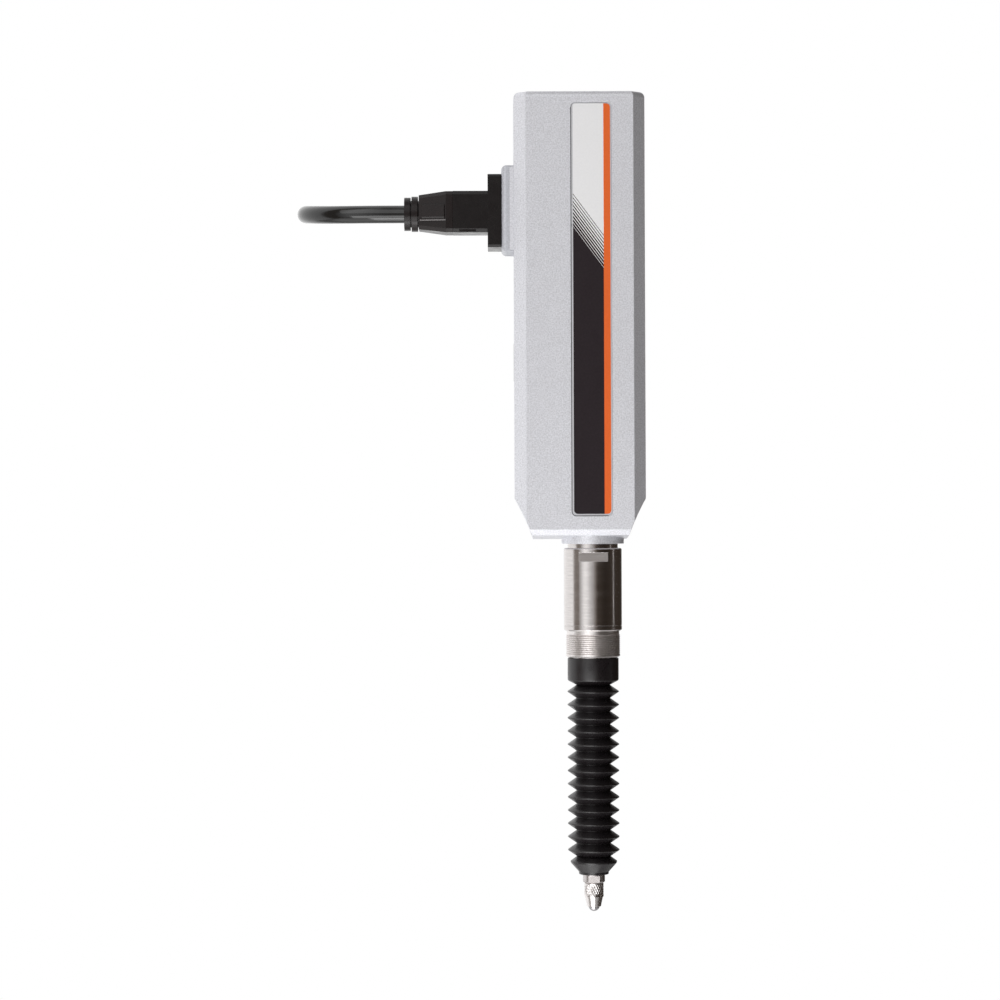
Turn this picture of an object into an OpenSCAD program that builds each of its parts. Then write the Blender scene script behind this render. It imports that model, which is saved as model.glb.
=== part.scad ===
// Linear displacement sensor: a flat housing on a clamping stem, a spring-loaded spindle
// in a ball bushing under a rubber bellows, and a cable that leaves through a side plug.
// Millimetres. The origin is the middle of the stem's clamping stretch. +Z runs up the
// stem into the housing, -Y is the front, and a push on the tip moves the spindle along +Z.

/* [Housing] */
// Width of the housing
body_w = 33.6; // [33.4:0.2:40]
// Height of the housing
body_h = 114.7; // [114:0.1:126]
// Stem axis to the front face
body_front = 9.5; // [9.5:0.1:12]
// Stem axis to the back face
body_back = 12.5; // [12.3:0.1:15]
// How far the middle of the housing lies left of the stem axis
body_shift = 3.3; // [3.3:0.1:4.2]
// Thickness of the walls
wall = 3; // [2.6:0.1:3]
// Height of the solid foot that grips the stem
foot_h = 12; // [11.5:0.5:15]
// Bevel along the two front edges
front_bevel = 3; // [1:0.1:3.2]
// Bevel along the two back edges
back_bevel = 1; // [0.4:0.1:1.2]
// Rounding round the top
top_round = 1.6; // [0.6:0.1:1.8]
// Width of the hollow cut at each lower corner
scoop_w = 4.7; // [3:0.1:6]
// Height of the hollow cut at each lower corner
scoop_h = 10.4; // [8:0.2:10.8]
// Radius of the hollow cut
scoop_r = 50; // [30:1:90]
// Bevel under the front face
foot_bevel = 1.5; // [0.8:0.1:2]
// Slope of the underside behind that bevel
foot_slope = 1; // [0.4:0.1:1.4]
// Diameter of the round flange under the housing
flange_d = 16.1; // [15.6:0.1:18]
// Height of the flange below the housing
flange_h = 1.2; // [0.8:0.1:2]

/* [Rear cover] */
// Thickness of the cover
cover_t = 2.5; // [2.2:0.1:2.8]
// Width of the ledge under the cover's edge
ledge = 1; // [0.8:0.1:1.1]
// Thickness of the gasket
gasket_t = 0.5; // [0.3:0.1:0.8]
// Shank diameter of the cover screws
cover_screw_d = 2.5; // [2:0.1:2.8]
// Shank length of the cover screws
cover_screw_l = 8; // [5:0.5:10]

/* [Label] */
// Width of the label plate
label_w = 10.2; // [8:0.1:12]
// Height of the label plate
label_h = 105.4; // [80:0.2:107]
// Thickness of the label plate
label_t = 0.35; // [0.2:0.05:0.4]
// Depth of the recess that holds it
label_recess = 0.45; // [0.4:0.05:0.8]
// Corner radius of the label plate
label_r = 1.2; // [0.6:0.1:2]
// Top of the housing to the top of the label plate
label_drop = 3.2; // [2.5:0.1:4]
// Middle of the label plate, left of the stem axis
label_shift = 0.3; // [0:0.05:2]

/* [Stem] */
// Diameter of the clamping stem
stem_d = 15; // [14.6:0.1:16]
// Length of the clamping stretch below the wrench flats
clamp_l = 16.5; // [12:0.5:24]
// Distance across the wrench flats
flats_af = 13; // [12.6:0.1:14]
// Height of the wrench flats
flats_h = 2.3; // [1.5:0.1:4]
// Length of full diameter above the flats
shoulder_l = 1.1; // [0.6:0.1:2]
// Diameter of the neck under the flange
neck_d = 13; // [12.5:0.1:14]
// Length of the neck
neck_l = 1.15; // [0.8:0.05:2]
// Length of the ring below the clamping stretch
ring_l = 1.4; // [1:0.1:3]
// Outside diameter of the nut thread
thread_d = 14; // [12.8:0.1:14.4]
// Length of the nut thread with its relief and end bevel
thread_l = 6.85; // [5:0.05:10]
// Diameter of the nose that carries the bellows
nose_d = 11.2; // [11:0.1:11.6]
// Length of the nose
nose_l = 5.9; // [5:0.1:8]
// Diameter of the tail inside the housing
tail_d = 12; // [11.6:0.1:12.6]
// Length of the tail above the solid foot
tail_l = 18; // [14:0.5:18]

/* [Spindle and bearing] */
// Diameter of the spindle
spindle_d = 5; // [4.6:0.1:5.2]
// Travel of the spindle
stroke = 25; // [15:1:26]
// Diameter of the bearing balls
ball_d = 1; // [0.9:0.05:1]
// Wall of the bearing sleeve
sleeve_wall = 1; // [0.8:0.1:1.1]
// Length of the ball cage
cage_l = 22; // [16:1:26]
// Rings of balls in the cage
ball_rings = 7; // [4:1:8]
// Balls in each ring
ring_balls = 6; // [5:1:8]
// Diameter of the collar at the spindle's lower end
collar_d = 5.7; // [5.5:0.1:6]
// Distance across the collar's flats
collar_af = 4.9; // [4.6:0.1:5.2]
// Length of collar that shows below the bellows
collar_show = 2.05; // [1:0.05:3]
// Diameter of the bore for the spring's guide rod
guide_bore_d = 3.2; // [2.8:0.1:3.4]

/* [Bellows] */
// Diameter of the bellows collar
boot_collar_d = 13.2; // [13:0.1:14]
// Length of the bellows collar
boot_collar_l = 5.8; // [5:0.1:8]
// Number of folds
folds = 13; // [8:1:14]
// Distance from fold to fold
fold_pitch = 3.406; // [3:0.002:3.8]
// Diameter over the folds
fold_d = 13.6; // [12.4:0.1:15]
// Diameter between the folds
fold_root_d = 8.7; // [8.5:0.1:9.4]
// Thickness of the rubber, measured towards the axis
boot_wall = 0.75; // [0.6:0.05:0.9]

/* [Contact point] */
// Diameter of the knurled part
contact_d = 5; // [4.4:0.1:5.4]
// Length of the knurled part
knurl_l = 3.7; // [3:0.1:6]
// Length of the taper below it
taper_l = 2.6; // [2:0.1:4]
// Diameter of the hard ball at the tip
tip_d = 3; // [2.4:0.1:3.1]
// Diameter of the stud that screws into the spindle
stud_d = 2.4; // [2:0.1:2.5]
// Length of the stud
stud_l = 5; // [4:0.5:7]

/* [Plug] */
// Foot of the housing to the middle of the plug
plug_rise = 84.5; // [82:0.1:90]
// Middle of the plug behind the stem axis
plug_back = 2.4; // [2.2:0.1:3]
// Thickness of the spacer plate
spacer_t = 3.2; // [2:0.1:5]
// Height of the spacer plate
spacer_h = 22; // [21.4:0.2:26]
// How far the middle of the spacer plate lies above the plug's
spacer_lift = 0.5; // [0:0.1:1]
// Depth of the spacer plate
spacer_d = 17.2; // [16.6:0.2:17.6]
// Thickness of the socket flange
socket_t = 3.5; // [3:0.1:5]
// Height of the socket flange
socket_h = 18.8; // [18.6:0.1:21]
// Depth of the socket flange
socket_d = 16; // [15.5:0.1:16.4]
// Diameter of the socket's barrel inside the wall
barrel_d = 9.6; // [8:0.1:10]
// Length of the plug body outside the flange
plug_l = 9; // [6:0.5:12]
// Height of the plug body
plug_h = 10.7; // [10:0.1:11.4]
// Depth of the plug body
plug_d = 11.6; // [10.4:0.1:12]
// Length of the plug's tapered grip
grip_l = 8.8; // [6:0.2:12]
// Height of the grip at its narrow end
grip_end_h = 8.8; // [7:0.1:9.4]
// Diameter of the strain relief's outer ring
relief_d = 8.6; // [8:0.1:9]
// Length of the strain relief
relief_l = 3.8; // [3:0.1:6]

/* [Inside] */
// Side of the carriage round the spindle
carriage_w = 10; // [9:0.5:10]
// Height of the carriage
carriage_h = 16; // [14:0.5:18]
// Height of the arm that holds the scale
arm_h = 7; // [6:0.5:8]
// Width of the glass scale
scale_w = 7.6; // [6:0.1:7.6]
// Thickness of the glass scale
scale_t = 1.5; // [1:0.1:1.6]
// Height of the detector head
head_h = 10; // [8:0.5:11]
// Thickness of the circuit board
board_t = 1.2; // [0.8:0.1:1.6]
// Wire diameter of the return spring
wire_d = 0.5; // [0.4:0.05:0.6]
// Turns of the return spring
spring_turns = 22; // [16:1:28]
// Diameter of the guide pin
pin_d = 2; // [1.6:0.1:2.4]

/* [Cable] */
// Diameter of the cable
cable_d = 4.6; // [4.4:0.1:4.7]
// Bend radius of the hank's ends, at the middle of the cable
hank_r = 13.8; // [13.5:0.1:14]
// Straight length of the hank's runs
hank_run = 74; // [60:1:76]
// Turns in the hank
hank_turns = 7.7; // [5:0.1:7.7]
// Width of the strap
strap_w = 10; // [6:0.5:14]

/* [Hidden] */
$fn = 72;
eps = 0.01;

// Clearances
press_gap = 0.02;
seat_gap = 0.1;
slide_gap = 0.12;
air_gap = 0.5;

// Heights along the stem
clamp_top = clamp_l / 2;
flats_top = clamp_top + flats_h;
shoulder_top = flats_top + shoulder_l;
neck_top = shoulder_top + neck_l;
body_z = neck_top + flange_h;
body_top = body_z + body_h;
ring_z = -clamp_l / 2 - ring_l;
thread_z = ring_z - thread_l;
nose_z = thread_z - nose_l;
thread_relief_l = 0.95;
stem_groove = 0.15;
lip_t = 0.8;

// Housing sides and inner faces
left_x = -body_shift - body_w / 2;
right_x = -body_shift + body_w / 2;
front_y = -body_front;
back_y = body_back;
in_left = left_x + wall;
in_right = right_x - wall;
in_front = front_y + wall;
floor_z = body_z + foot_h;
roof_z = body_top - wall;
cover_y = back_y - cover_t;
ledge_y = cover_y - gasket_t;

// Cover screws and their bosses
boss_r = 2.6;
boss_sink = 0.6;
screw_head_r = 2.2;
screw_head_h = 1.4;
hex_af = 2;
small_screw_r = 0.8;
small_head_r = 1.5;
small_head_h = 1;
screw_tip_gap = 0.3;
boss_places = [
  for (x = [in_left + boss_r - boss_sink, in_right - boss_r + boss_sink])
  for (z = [floor_z + boss_r - boss_sink, roof_z - boss_r + boss_sink])
  [x, z]
];

// Bearing, from the spindle outwards
sleeve_bore_r = spindle_d / 2 + ball_d;
sleeve_r = sleeve_bore_r + sleeve_wall;
stem_bore_r = sleeve_r + press_gap;
ball_path_r = spindle_d / 2 + ball_d / 2;
cage_wall = 0.74 * ball_d;
seal_h = 3;
seal_z = nose_z + lip_t;
sleeve_z = seal_z + seal_h + press_gap;
tail_top = floor_z + tail_l;
sleeve_top = tail_top - 3;
cage_z = sleeve_z + 1;

// Bellows
boot_top = thread_z - 0.2;
boot_collar_z = boot_top - boot_collar_l;
first_root_z = boot_collar_z - 1.2;
last_root_z = first_root_z - folds * fold_pitch;
last_fold_z = last_root_z - 1.25;
last_fold_r = fold_d / 2 - 0.75;
cuff_z = last_fold_z - 2.75;
boot_z = cuff_z - 0.65;
cuff_bore_r = collar_d / 2 + seat_gap;
cuff_r = cuff_bore_r + 0.65;

// Spindle and contact point
collar_z = boot_z - collar_show;
collar_top = last_root_z - 1;
knurl_z = collar_z - knurl_l;
taper_z = knurl_z - taper_l;
tip_z = taper_z + 0.1 * tip_d;

// Moving parts inside the housing
bumper_t = 2;
bumper_top = tail_top + bumper_t;
carriage_z = bumper_top + seat_gap;
carriage_top = carriage_z + carriage_h;
spindle_top = carriage_top + 8;
guide_bore_l = stroke + 5;
arm_top = carriage_z + arm_h;
arm_front = 1.5;
scale_front = carriage_w / 2 - air_gap;
scale_back = scale_front + scale_t;
web_t = 3.2;
scale_left = in_left + web_t + air_gap;
scale_right = scale_left + scale_w;
head_right = scale_right + 0.6;
head_z = arm_top + stroke + 1.4;
scale_z = carriage_z + 1;
scale_top = head_z + head_h + 2.5;
pin_z = carriage_z + 11;
rail_left = carriage_w / 2 + 1.2;
rail_w = 6;
rail_end = 5;
rail_z = pin_z - pin_d / 2 - 1 - rail_end;
rail_top = pin_z + pin_d / 2 + stroke + 1 + rail_end;
slot_right = in_right - 1.2;
rail_screw_sink = 1.8;

// Circuit board on the cover's standoffs
standoff_h = 0.8;
standoff_r = 1.8;
board_back = cover_y - standoff_h;
board_front = board_back - board_t;
board_left = in_left + 1;
board_right = in_right - 1;
board_skirt = 14;
board_drop = 7;
board_z = head_z - board_skirt;
board_top = roof_z - board_drop;
board_screw_inset = 2.5;
board_screw_sink = 1.4;
board_screw_places = [
  for (x = [board_left + board_screw_inset, board_right - board_screw_inset])
  for (z = [board_z + board_screw_inset, board_top - board_screw_inset])
  [x, z]
];
window_h = 5;
window_left = scale_left + 1;
window_right = scale_right - 1;
window_z = head_z + (head_h - window_h) / 2;

// Plug side
plug_z = body_z + plug_rise;
spacer_x = left_x - spacer_t;
socket_x = spacer_x - socket_t;
plug_nose = 2;
grip_x = socket_x - plug_l;
relief_x = grip_x - grip_l;
cable_x = relief_x - relief_l;
relief_drop = 0.2;
socket_screw_y = socket_d / 2 - 2.2;
socket_screw_z = socket_h / 2 - 2.2;
socket_screw_sink = 2.2;
socket_head_sink = 0.2;
pin_circle_r = 2.6;
contact_pins = 6;

// Place of the hank behind the housing
hank_pitch = 4.75;
hank_gap = 1.4;
hank_front = back_y + hank_gap;
hank_back = hank_front + cable_d + hank_turns * hank_pitch;
hank_x = -body_shift + 0.25;
hank_z = body_z + 19.4;
hank_top = hank_z + hank_run;

// Route of the cable from the plug to the hank, as steps from the end of the strain relief
lead_start = [cable_x, plug_back, plug_z - relief_drop];
lead_end = [hank_x - hank_r, hank_front + cable_d / 2, lead_start[2] - 22];
lead_steps = [
  [0, 0, 0], [-3.7, 0, 0], [-8.2, 0, 0], [-15.7, 1.6, 0.1],
  [-21.9, 6.1, 0.5], [-25.8, 12.8, 1.2], [-26.6, 20.4, 1.9], [-24.2, 27.8, 2.6],
  [-19.1, 33.5, 3.1], [-12, 36.6, 3.4], [-4.7, 36.7, 3.4], [2.2, 33.8, 3.1],
  [9.3, 29, 2.7], [16.5, 24.1, 2.3], [22.4, 20.2, 0.9], [27.3, 16.8, -3.1],
  [30.7, 14.5, -9.1], [31.8, 13.8, -16.2], [31.8, 13.8, -22]
];
lead_reach = lead_end - lead_start;
lead_last = lead_steps[len(lead_steps) - 1];
lead_route = [
  for (p = lead_steps)
  lead_start + [for (k = [0:2]) p[k] * lead_reach[k] / lead_last[k]]
];

// Route from the hank over its top end to the end plug, as steps from the hank's last run
tail_start = [hank_x + hank_r, hank_back - cable_d / 2, hank_top - 3.4];
tail_steps = [
  [0, 0, 0], [0, 0.1, 4], [-0.9, 0.5, 9], [-3.7, 1.4, 13.4],
  [-8, 2.6, 16.3], [-13.1, 3.8, 17.4], [-18.4, 5.1, 16.8], [-23, 6.4, 14.3],
  [-26.2, 7.6, 10.3], [-27.4, 8.5, 5.4], [-27.1, 9.1, 0.5], [-26, 9.3, -4.3],
  [-24.5, 9.3, -9], [-23.7, 9.3, -12], [-23.6, 9.3, -14], [-23.6, 9.3, -16]
];
tail_route = [for (p = tail_steps) tail_start + p];
tail_end = tail_route[len(tail_route) - 1];
cable_sides = 10;
end_x = tail_end[0];
end_y = tail_end[1];
end_top = tail_end[2];
end_relief_l = 12;
end_body_l = 26;
end_body_d = 12;
end_shell_l = 9;
end_shell_d = 9.6;
strap_t = 0.7;
strap_gap = 0.1;
strap_corner = 0.2;
strap_z = body_z + 43;

// Unit vector along v
function unit(v) = v / norm(v);

// Direction of a path at its point i
function heading(path, i) =
  unit(path[min(i + 1, len(path) - 1)] - path[max(i - 1, 0)]);

// A side direction for each point of a path, carried along it without twist
function sideways(path, start, i = 0, found = []) =
  i == len(path) ? found :
  let (t = heading(path, i), n = i == 0 ? start : found[i - 1])
  sideways(path, start, i + 1, concat(found, [unit(n - t * (n * t))]));

// A round tube swept along a path
module tube(path, d, sides, start) {
  side = sideways(path, start);
  last = len(path) - 1;
  points = [
    for (i = [0:last])
    for (k = [0:sides - 1])
    let (u = side[i], v = cross(heading(path, i), u), a = 360 * k / sides)
    path[i] + d / 2 * (cos(a) * u + sin(a) * v)
  ];
  walls = [
    for (i = [0:last - 1])
    for (k = [0:sides - 1])
    let (m = (k + 1) % sides, p = i * sides, q = p + sides)
    each [[p + k, q + k, p + m], [p + m, q + k, q + m]]
  ];
  first_cap = [for (k = [0:sides - 1]) k];
  last_cap = [for (k = [sides - 1:-1:0]) last * sides + k];
  polyhedron(points, concat([first_cap], walls, [last_cap]));
}

// A box between two corners
module block(low, high) {
  translate(low) cube(high - low);
}

// A cylinder along Y from y0 to y1
module rod_y(x, z, y0, y1, r) {
  translate([x, y1, z]) rotate([90, 0, 0]) cylinder(h = y1 - y0, r = r);
}

// A cylinder along X from x0 to x1
module rod_x(y, z, x0, x1, r) {
  translate([x0, y, z]) rotate([0, 90, 0]) cylinder(h = x1 - x0, r = r);
}

// A ring or disc round the stem axis
module ring(z0, z1, r, hole_r) {
  difference() {
    translate([0, 0, z0]) cylinder(h = z1 - z0, r = r);
    translate([0, 0, z0 - 1]) cylinder(h = z1 - z0 + 2, r = hole_r);
  }
}

// An upright plate, thin along Y, with round corners
module upright_plate(x0, x1, z0, z1, y0, y1, r) {
  block([x0 + r, y0, z0], [x1 - r, y1, z1]);
  block([x0, y0, z0 + r], [x1, y1, z1 - r]);
  for (x = [x0 + r, x1 - r]) {
    for (z = [z0 + r, z1 - r]) {
      rod_y(x, z, y0, y1, r);
    }
  }
}

// Cutter that rounds the top edge from plan point p to q, with the solid on its left
module top_edge_cutter(p, q) {
  reach = 3;
  length = norm(q - p) + 2 * reach;
  angle = atan2(q[1] - p[1], q[0] - p[0]);
  translate([p[0], p[1], body_top]) rotate([0, 0, angle]) translate([-reach, 0, 0]) difference() {
    block([0, -1, -top_round], [length, top_round, 1]);
    rod_x(top_round, -top_round, -1, length + 1, top_round);
  }
}

// Outline of the housing seen from above, anticlockwise
plan = [
  [left_x, front_y + front_bevel], [left_x + front_bevel, front_y],
  [right_x - front_bevel, front_y], [right_x, front_y + front_bevel],
  [right_x, back_y - back_bevel], [right_x - back_bevel, back_y],
  [left_x + back_bevel, back_y], [left_x, back_y - back_bevel]
];

// Outline of the housing seen from its side
profile = [
  [front_y, body_z + foot_slope + foot_bevel], [front_y + foot_bevel, body_z + foot_slope],
  [0, body_z], [back_y - back_bevel, body_z], [back_y, body_z + back_bevel],
  [back_y, body_top], [front_y, body_top]
];

// Hollow cut at a lower corner, on the right with side 1 and on the left with side -1
module scoop(side) {
  high = [body_w / 2, scoop_h];
  low = [body_w / 2 - scoop_w, 0];
  chord = high - low;
  half = norm(chord) / 2;
  outward = [chord[1], -chord[0]] / norm(chord);
  centre = (high + low) / 2 + outward * sqrt(scoop_r * scoop_r - half * half);
  rod_y(-body_shift + side * centre[0], body_z + centre[1], front_y - 1, back_y + 1, scoop_r);
}

// Outer form of the housing, before it is hollowed
module housing_form() {
  difference() {
    intersection() {
      translate([0, 0, body_z]) linear_extrude(body_h) polygon(plan);
      translate([left_x, 0, 0]) rotate([90, 0, 90]) linear_extrude(body_w) polygon(profile);
    }
    scoop(1);
    scoop(-1);
    for (i = [0:len(plan) - 1]) {
      top_edge_cutter(plan[i], plan[(i + 1) % len(plan)]);
    }
  }
  translate([0, 0, neck_top]) cylinder(h = flange_h + foot_slope, r = flange_d / 2);
}

// Room inside the housing, less the bosses for the cover's screws
module housing_room() {
  difference() {
    block([in_left, in_front, floor_z], [in_right, ledge_y, roof_z]);
    for (b = boss_places) {
      rod_y(b[0], b[1], in_front - 1, ledge_y + 1, boss_r);
    }
  }
  block([in_left - ledge, ledge_y, floor_z - ledge], [in_right + ledge, back_y + 1, roof_z + ledge]);
}

module housing() {
  color([0.78, 0.78, 0.8]) difference() {
    housing_form();
    housing_room();
    translate([0, 0, neck_top - 1]) cylinder(h = floor_z - neck_top + 2, r = tail_d / 2 + press_gap);
    for (b = boss_places) {
      rod_y(b[0], b[1], cover_y - cover_screw_l, back_y, cover_screw_d / 2 + press_gap);
    }
    upright_plate(-label_shift - label_w / 2 - slide_gap, -label_shift + label_w / 2 + slide_gap,
      body_top - label_drop - label_h - slide_gap, body_top - label_drop + slide_gap,
      front_y - 1, front_y + label_recess, label_r + slide_gap);
    rod_x(plug_back, plug_z, left_x - 1, in_left + 1, barrel_d / 2 + seat_gap);
    for (y = [-1, 1] * socket_screw_y) {
      for (z = [-1, 1] * socket_screw_z) {
        rod_x(plug_back + y, plug_z + z, left_x - 1, left_x + socket_screw_sink + screw_tip_gap,
          small_screw_r + press_gap);
      }
    }
    for (z = [rail_z + rail_end / 2, rail_top - rail_end / 2]) {
      rod_x(0, z, in_right - 1, in_right + rail_screw_sink + screw_tip_gap, small_screw_r + press_gap);
    }
  }
}

module rear_cover() {
  color([0.76, 0.76, 0.78]) difference() {
    union() {
      block([in_left - ledge + seat_gap, cover_y, floor_z - ledge + seat_gap],
        [in_right + ledge - seat_gap, back_y, roof_z + ledge - seat_gap]);
      for (b = boss_places) {
        rod_y(b[0], b[1], ledge_y, cover_y + eps, boss_r - boss_sink - seat_gap);
      }
      for (b = board_screw_places) {
        rod_y(b[0], b[1], board_back, cover_y + eps, standoff_r);
      }
    }
    for (b = boss_places) {
      rod_y(b[0], b[1], ledge_y - 1, back_y + 1, cover_screw_d / 2 + seat_gap);
      rod_y(b[0], b[1], back_y - screw_head_h - seat_gap, back_y + 1, screw_head_r + seat_gap);
    }
    for (b = board_screw_places) {
      rod_y(b[0], b[1], board_back - 1, cover_y + board_screw_sink + screw_tip_gap,
        small_screw_r + press_gap);
    }
  }
}

module cover_gasket() {
  color([0.12, 0.12, 0.12]) difference() {
    block([in_left - ledge + seat_gap, ledge_y, floor_z - ledge + seat_gap],
      [in_right + ledge - seat_gap, cover_y, roof_z + ledge - seat_gap]);
    block([in_left, ledge_y - 1, floor_z], [in_right, cover_y + 1, roof_z]);
  }
}

// A cap screw along +Y with its head at the back: y is the underside of the head
module cap_screw(x, z, y, length, d) {
  difference() {
    union() {
      rod_y(x, z, y - length, y + eps, d / 2);
      rod_y(x, z, y, y + screw_head_h, screw_head_r);
    }
    translate([x, y + screw_head_h + 1, z]) rotate([90, 0, 0])
      cylinder(h = screw_head_h, r = hex_af / sqrt(3), $fn = 6);
  }
}

module cover_screws() {
  color([0.55, 0.55, 0.56]) for (b = boss_places) {
    cap_screw(b[0], b[1], back_y - screw_head_h - seat_gap, cover_screw_l - cover_t, cover_screw_d);
  }
}

module label_plate() {
  color([0.2, 0.18, 0.2]) upright_plate(-label_shift - label_w / 2, -label_shift + label_w / 2,
    body_top - label_drop - label_h, body_top - label_drop,
    front_y + label_recess - label_t, front_y + label_recess, label_r);
}

// Half section of the stem, radius and height
stem_section = [
  [stem_bore_r, nose_z], [nose_d / 2 - 0.3, nose_z], [nose_d / 2, nose_z + 0.3], [nose_d / 2, thread_z],
  [thread_d / 2 - 0.5, thread_z], [thread_d / 2, thread_z + 0.5],
  [thread_d / 2, ring_z - thread_relief_l], [thread_d / 2 - 0.2, ring_z - thread_relief_l],
  [thread_d / 2 - 0.2, ring_z], [stem_d / 2 - 0.3, ring_z], [stem_d / 2, ring_z + 0.3],
  [stem_d / 2, -clamp_top - stem_groove], [stem_d / 2 - stem_groove, -clamp_top - stem_groove],
  [stem_d / 2 - stem_groove, -clamp_top], [stem_d / 2, -clamp_top],
  [stem_d / 2, shoulder_top - 0.15], [stem_d / 2 - 0.15, shoulder_top],
  [neck_d / 2, shoulder_top], [neck_d / 2, neck_top],
  [tail_d / 2, neck_top], [tail_d / 2, tail_top - 0.3], [tail_d / 2 - 0.3, tail_top],
  [stem_bore_r, tail_top]
];

module stem() {
  color([0.62, 0.6, 0.58]) difference() {
    union() {
      rotate_extrude() polygon(stem_section);
      ring(nose_z, seal_z - press_gap, stem_bore_r + eps, spindle_d / 2 + 0.8);
    }
    for (side = [0, 180]) {
      rotate([0, 0, side]) block([-stem_d, -stem_d, clamp_top], [stem_d, -flats_af / 2, flats_top]);
    }
  }
}

module bearing_sleeve() {
  color([0.66, 0.66, 0.68]) ring(sleeve_z, sleeve_top, sleeve_r, sleeve_bore_r);
}

module wiper_seal() {
  color([0.15, 0.15, 0.15]) ring(seal_z, seal_z + seal_h, sleeve_r, spindle_d / 2 + seat_gap);
}

module stop_bumper() {
  color([0.2, 0.2, 0.2]) ring(tail_top, bumper_top, tail_d / 2 - 0.2, spindle_d / 2 + 0.3);
}

// Angle and height of each ball, with every second ring turned by half a step
ball_places = [
  for (i = [0:ball_rings - 1])
  for (k = [0:ring_balls - 1])
  [360 / ring_balls * (k + (i % 2) / 2), cage_z + cage_l * (i + 0.5) / ball_rings]
];

module ball_cage() {
  color([0.72, 0.6, 0.35]) difference() {
    ring(cage_z, cage_z + cage_l, ball_path_r + cage_wall / 2, ball_path_r - cage_wall / 2);
    for (p = ball_places) {
      translate([0, 0, p[1]]) rotate([0, 0, p[0]])
        rod_x(0, 0, spindle_d / 4, sleeve_r, ball_d / 2 + 0.05);
    }
  }
}

module bearing_balls() {
  color([0.8, 0.8, 0.82]) for (p = ball_places) {
    rotate([0, 0, p[0]]) translate([ball_path_r, 0, p[1]]) sphere(r = ball_d / 2 - press_gap);
  }
}

// Half section of the spindle, radius and height
spindle_section = [
  [0, collar_z], [collar_d / 2 - 0.2, collar_z], [collar_d / 2, collar_z + 0.2],
  [collar_d / 2, collar_top], [spindle_d / 2, collar_top + 0.3],
  [spindle_d / 2, spindle_top - 0.2], [spindle_d / 2 - 0.2, spindle_top], [0, spindle_top]
];

module spindle() {
  color([0.7, 0.7, 0.72]) difference() {
    rotate_extrude() polygon(spindle_section);
    translate([0, 0, collar_z - 1]) cylinder(h = stud_l + 1.6, r = stud_d / 2 + press_gap);
    translate([0, 0, spindle_top - guide_bore_l]) cylinder(h = guide_bore_l + 1, r = guide_bore_d / 2);
    for (side = [0, 180]) {
      rotate([0, 0, side]) block([-collar_d, -collar_d, collar_z - 1],
        [collar_d, -collar_af / 2, boot_z - 0.3]);
    }
  }
}

// Half section of the contact point, radius and height
contact_section = [
  [0, taper_z], [contact_d * 0.355, taper_z], [contact_d * 0.455, knurl_z],
  [contact_d / 2, knurl_z + 0.25], [contact_d / 2, collar_z - 0.25], [contact_d * 0.46, collar_z],
  [stud_d / 2, collar_z], [stud_d / 2, collar_z + stud_l], [0, collar_z + stud_l]
];

module contact_point() {
  color([0.8, 0.78, 0.76]) difference() {
    rotate_extrude() polygon(contact_section);
    translate([0, 0, tip_z]) sphere(r = tip_d / 2 + press_gap);
  }
}

module contact_ball() {
  color([0.5, 0.5, 0.52]) translate([0, 0, tip_z]) sphere(r = tip_d / 2);
}

// Zigzag of the folds from top to bottom, with the radius made smaller by inset
function fold_points(inset) = [
  for (i = [0:2 * folds])
  [(i % 2 == 0 ? fold_root_d : fold_d) / 2 - inset, first_root_z - i * fold_pitch / 2]
];

// Half section of the bellows: down the outside and back up the inside
boot_section = concat(
  [[boot_collar_d / 2 - 0.3, boot_top], [boot_collar_d / 2, boot_top - 0.3]],
  [[boot_collar_d / 2, boot_collar_z]],
  fold_points(0),
  [[last_fold_r, last_fold_z], [cuff_r + 0.1, cuff_z], [cuff_r, boot_z]],
  [[cuff_bore_r, boot_z], [cuff_bore_r, cuff_z + 0.8], [last_fold_r - boot_wall, last_fold_z]],
  reversed(fold_points(boot_wall)),
  [[nose_d / 2 + seat_gap / 2, boot_collar_z - 0.05], [nose_d / 2 + seat_gap / 2, boot_top]]
);

// A list from its last entry to its first
function reversed(list) = [for (i = [len(list) - 1:-1:0]) list[i]];

module bellows() {
  color([0.13, 0.12, 0.12]) rotate_extrude() polygon(boot_section);
}

module scale_carriage() {
  color([0.6, 0.6, 0.63]) difference() {
    union() {
      block([-carriage_w / 2, -carriage_w / 2 + air_gap, carriage_z],
        [carriage_w / 2, scale_front, carriage_top]);
      block([scale_left, arm_front, carriage_z], [-carriage_w / 2 + 1, scale_front, arm_top]);
    }
    translate([0, 0, carriage_z - 1]) cylinder(h = carriage_h + 2, r = spindle_d / 2 + press_gap);
    rod_x(0, pin_z, spindle_d / 2 - 1, carriage_w, pin_d / 2 + press_gap);
    rod_y(0, carriage_top - 4, -carriage_w, -spindle_d / 2 + 1, 0.8 + press_gap);
  }
}

// Set screw that grips the spindle, with a hexagon socket
module carriage_screw() {
  color([0.3, 0.3, 0.32]) difference() {
    rod_y(0, carriage_top - 4, -carriage_w / 2 + air_gap, -spindle_d / 2 - press_gap, 0.8);
    translate([0, -spindle_d / 2 - 1, carriage_top - 4]) rotate([90, 0, 0])
      cylinder(h = carriage_w, r = 0.4, $fn = 6);
  }
}

module glass_scale() {
  color([0.75, 0.85, 0.85, 0.6])
    block([scale_left, scale_front, scale_z], [scale_right, scale_back, scale_top]);
}

module guide_pin() {
  color([0.7, 0.7, 0.72]) rod_x(0, pin_z, spindle_d / 2 + press_gap, slot_right - 0.5, pin_d / 2);
}

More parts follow.
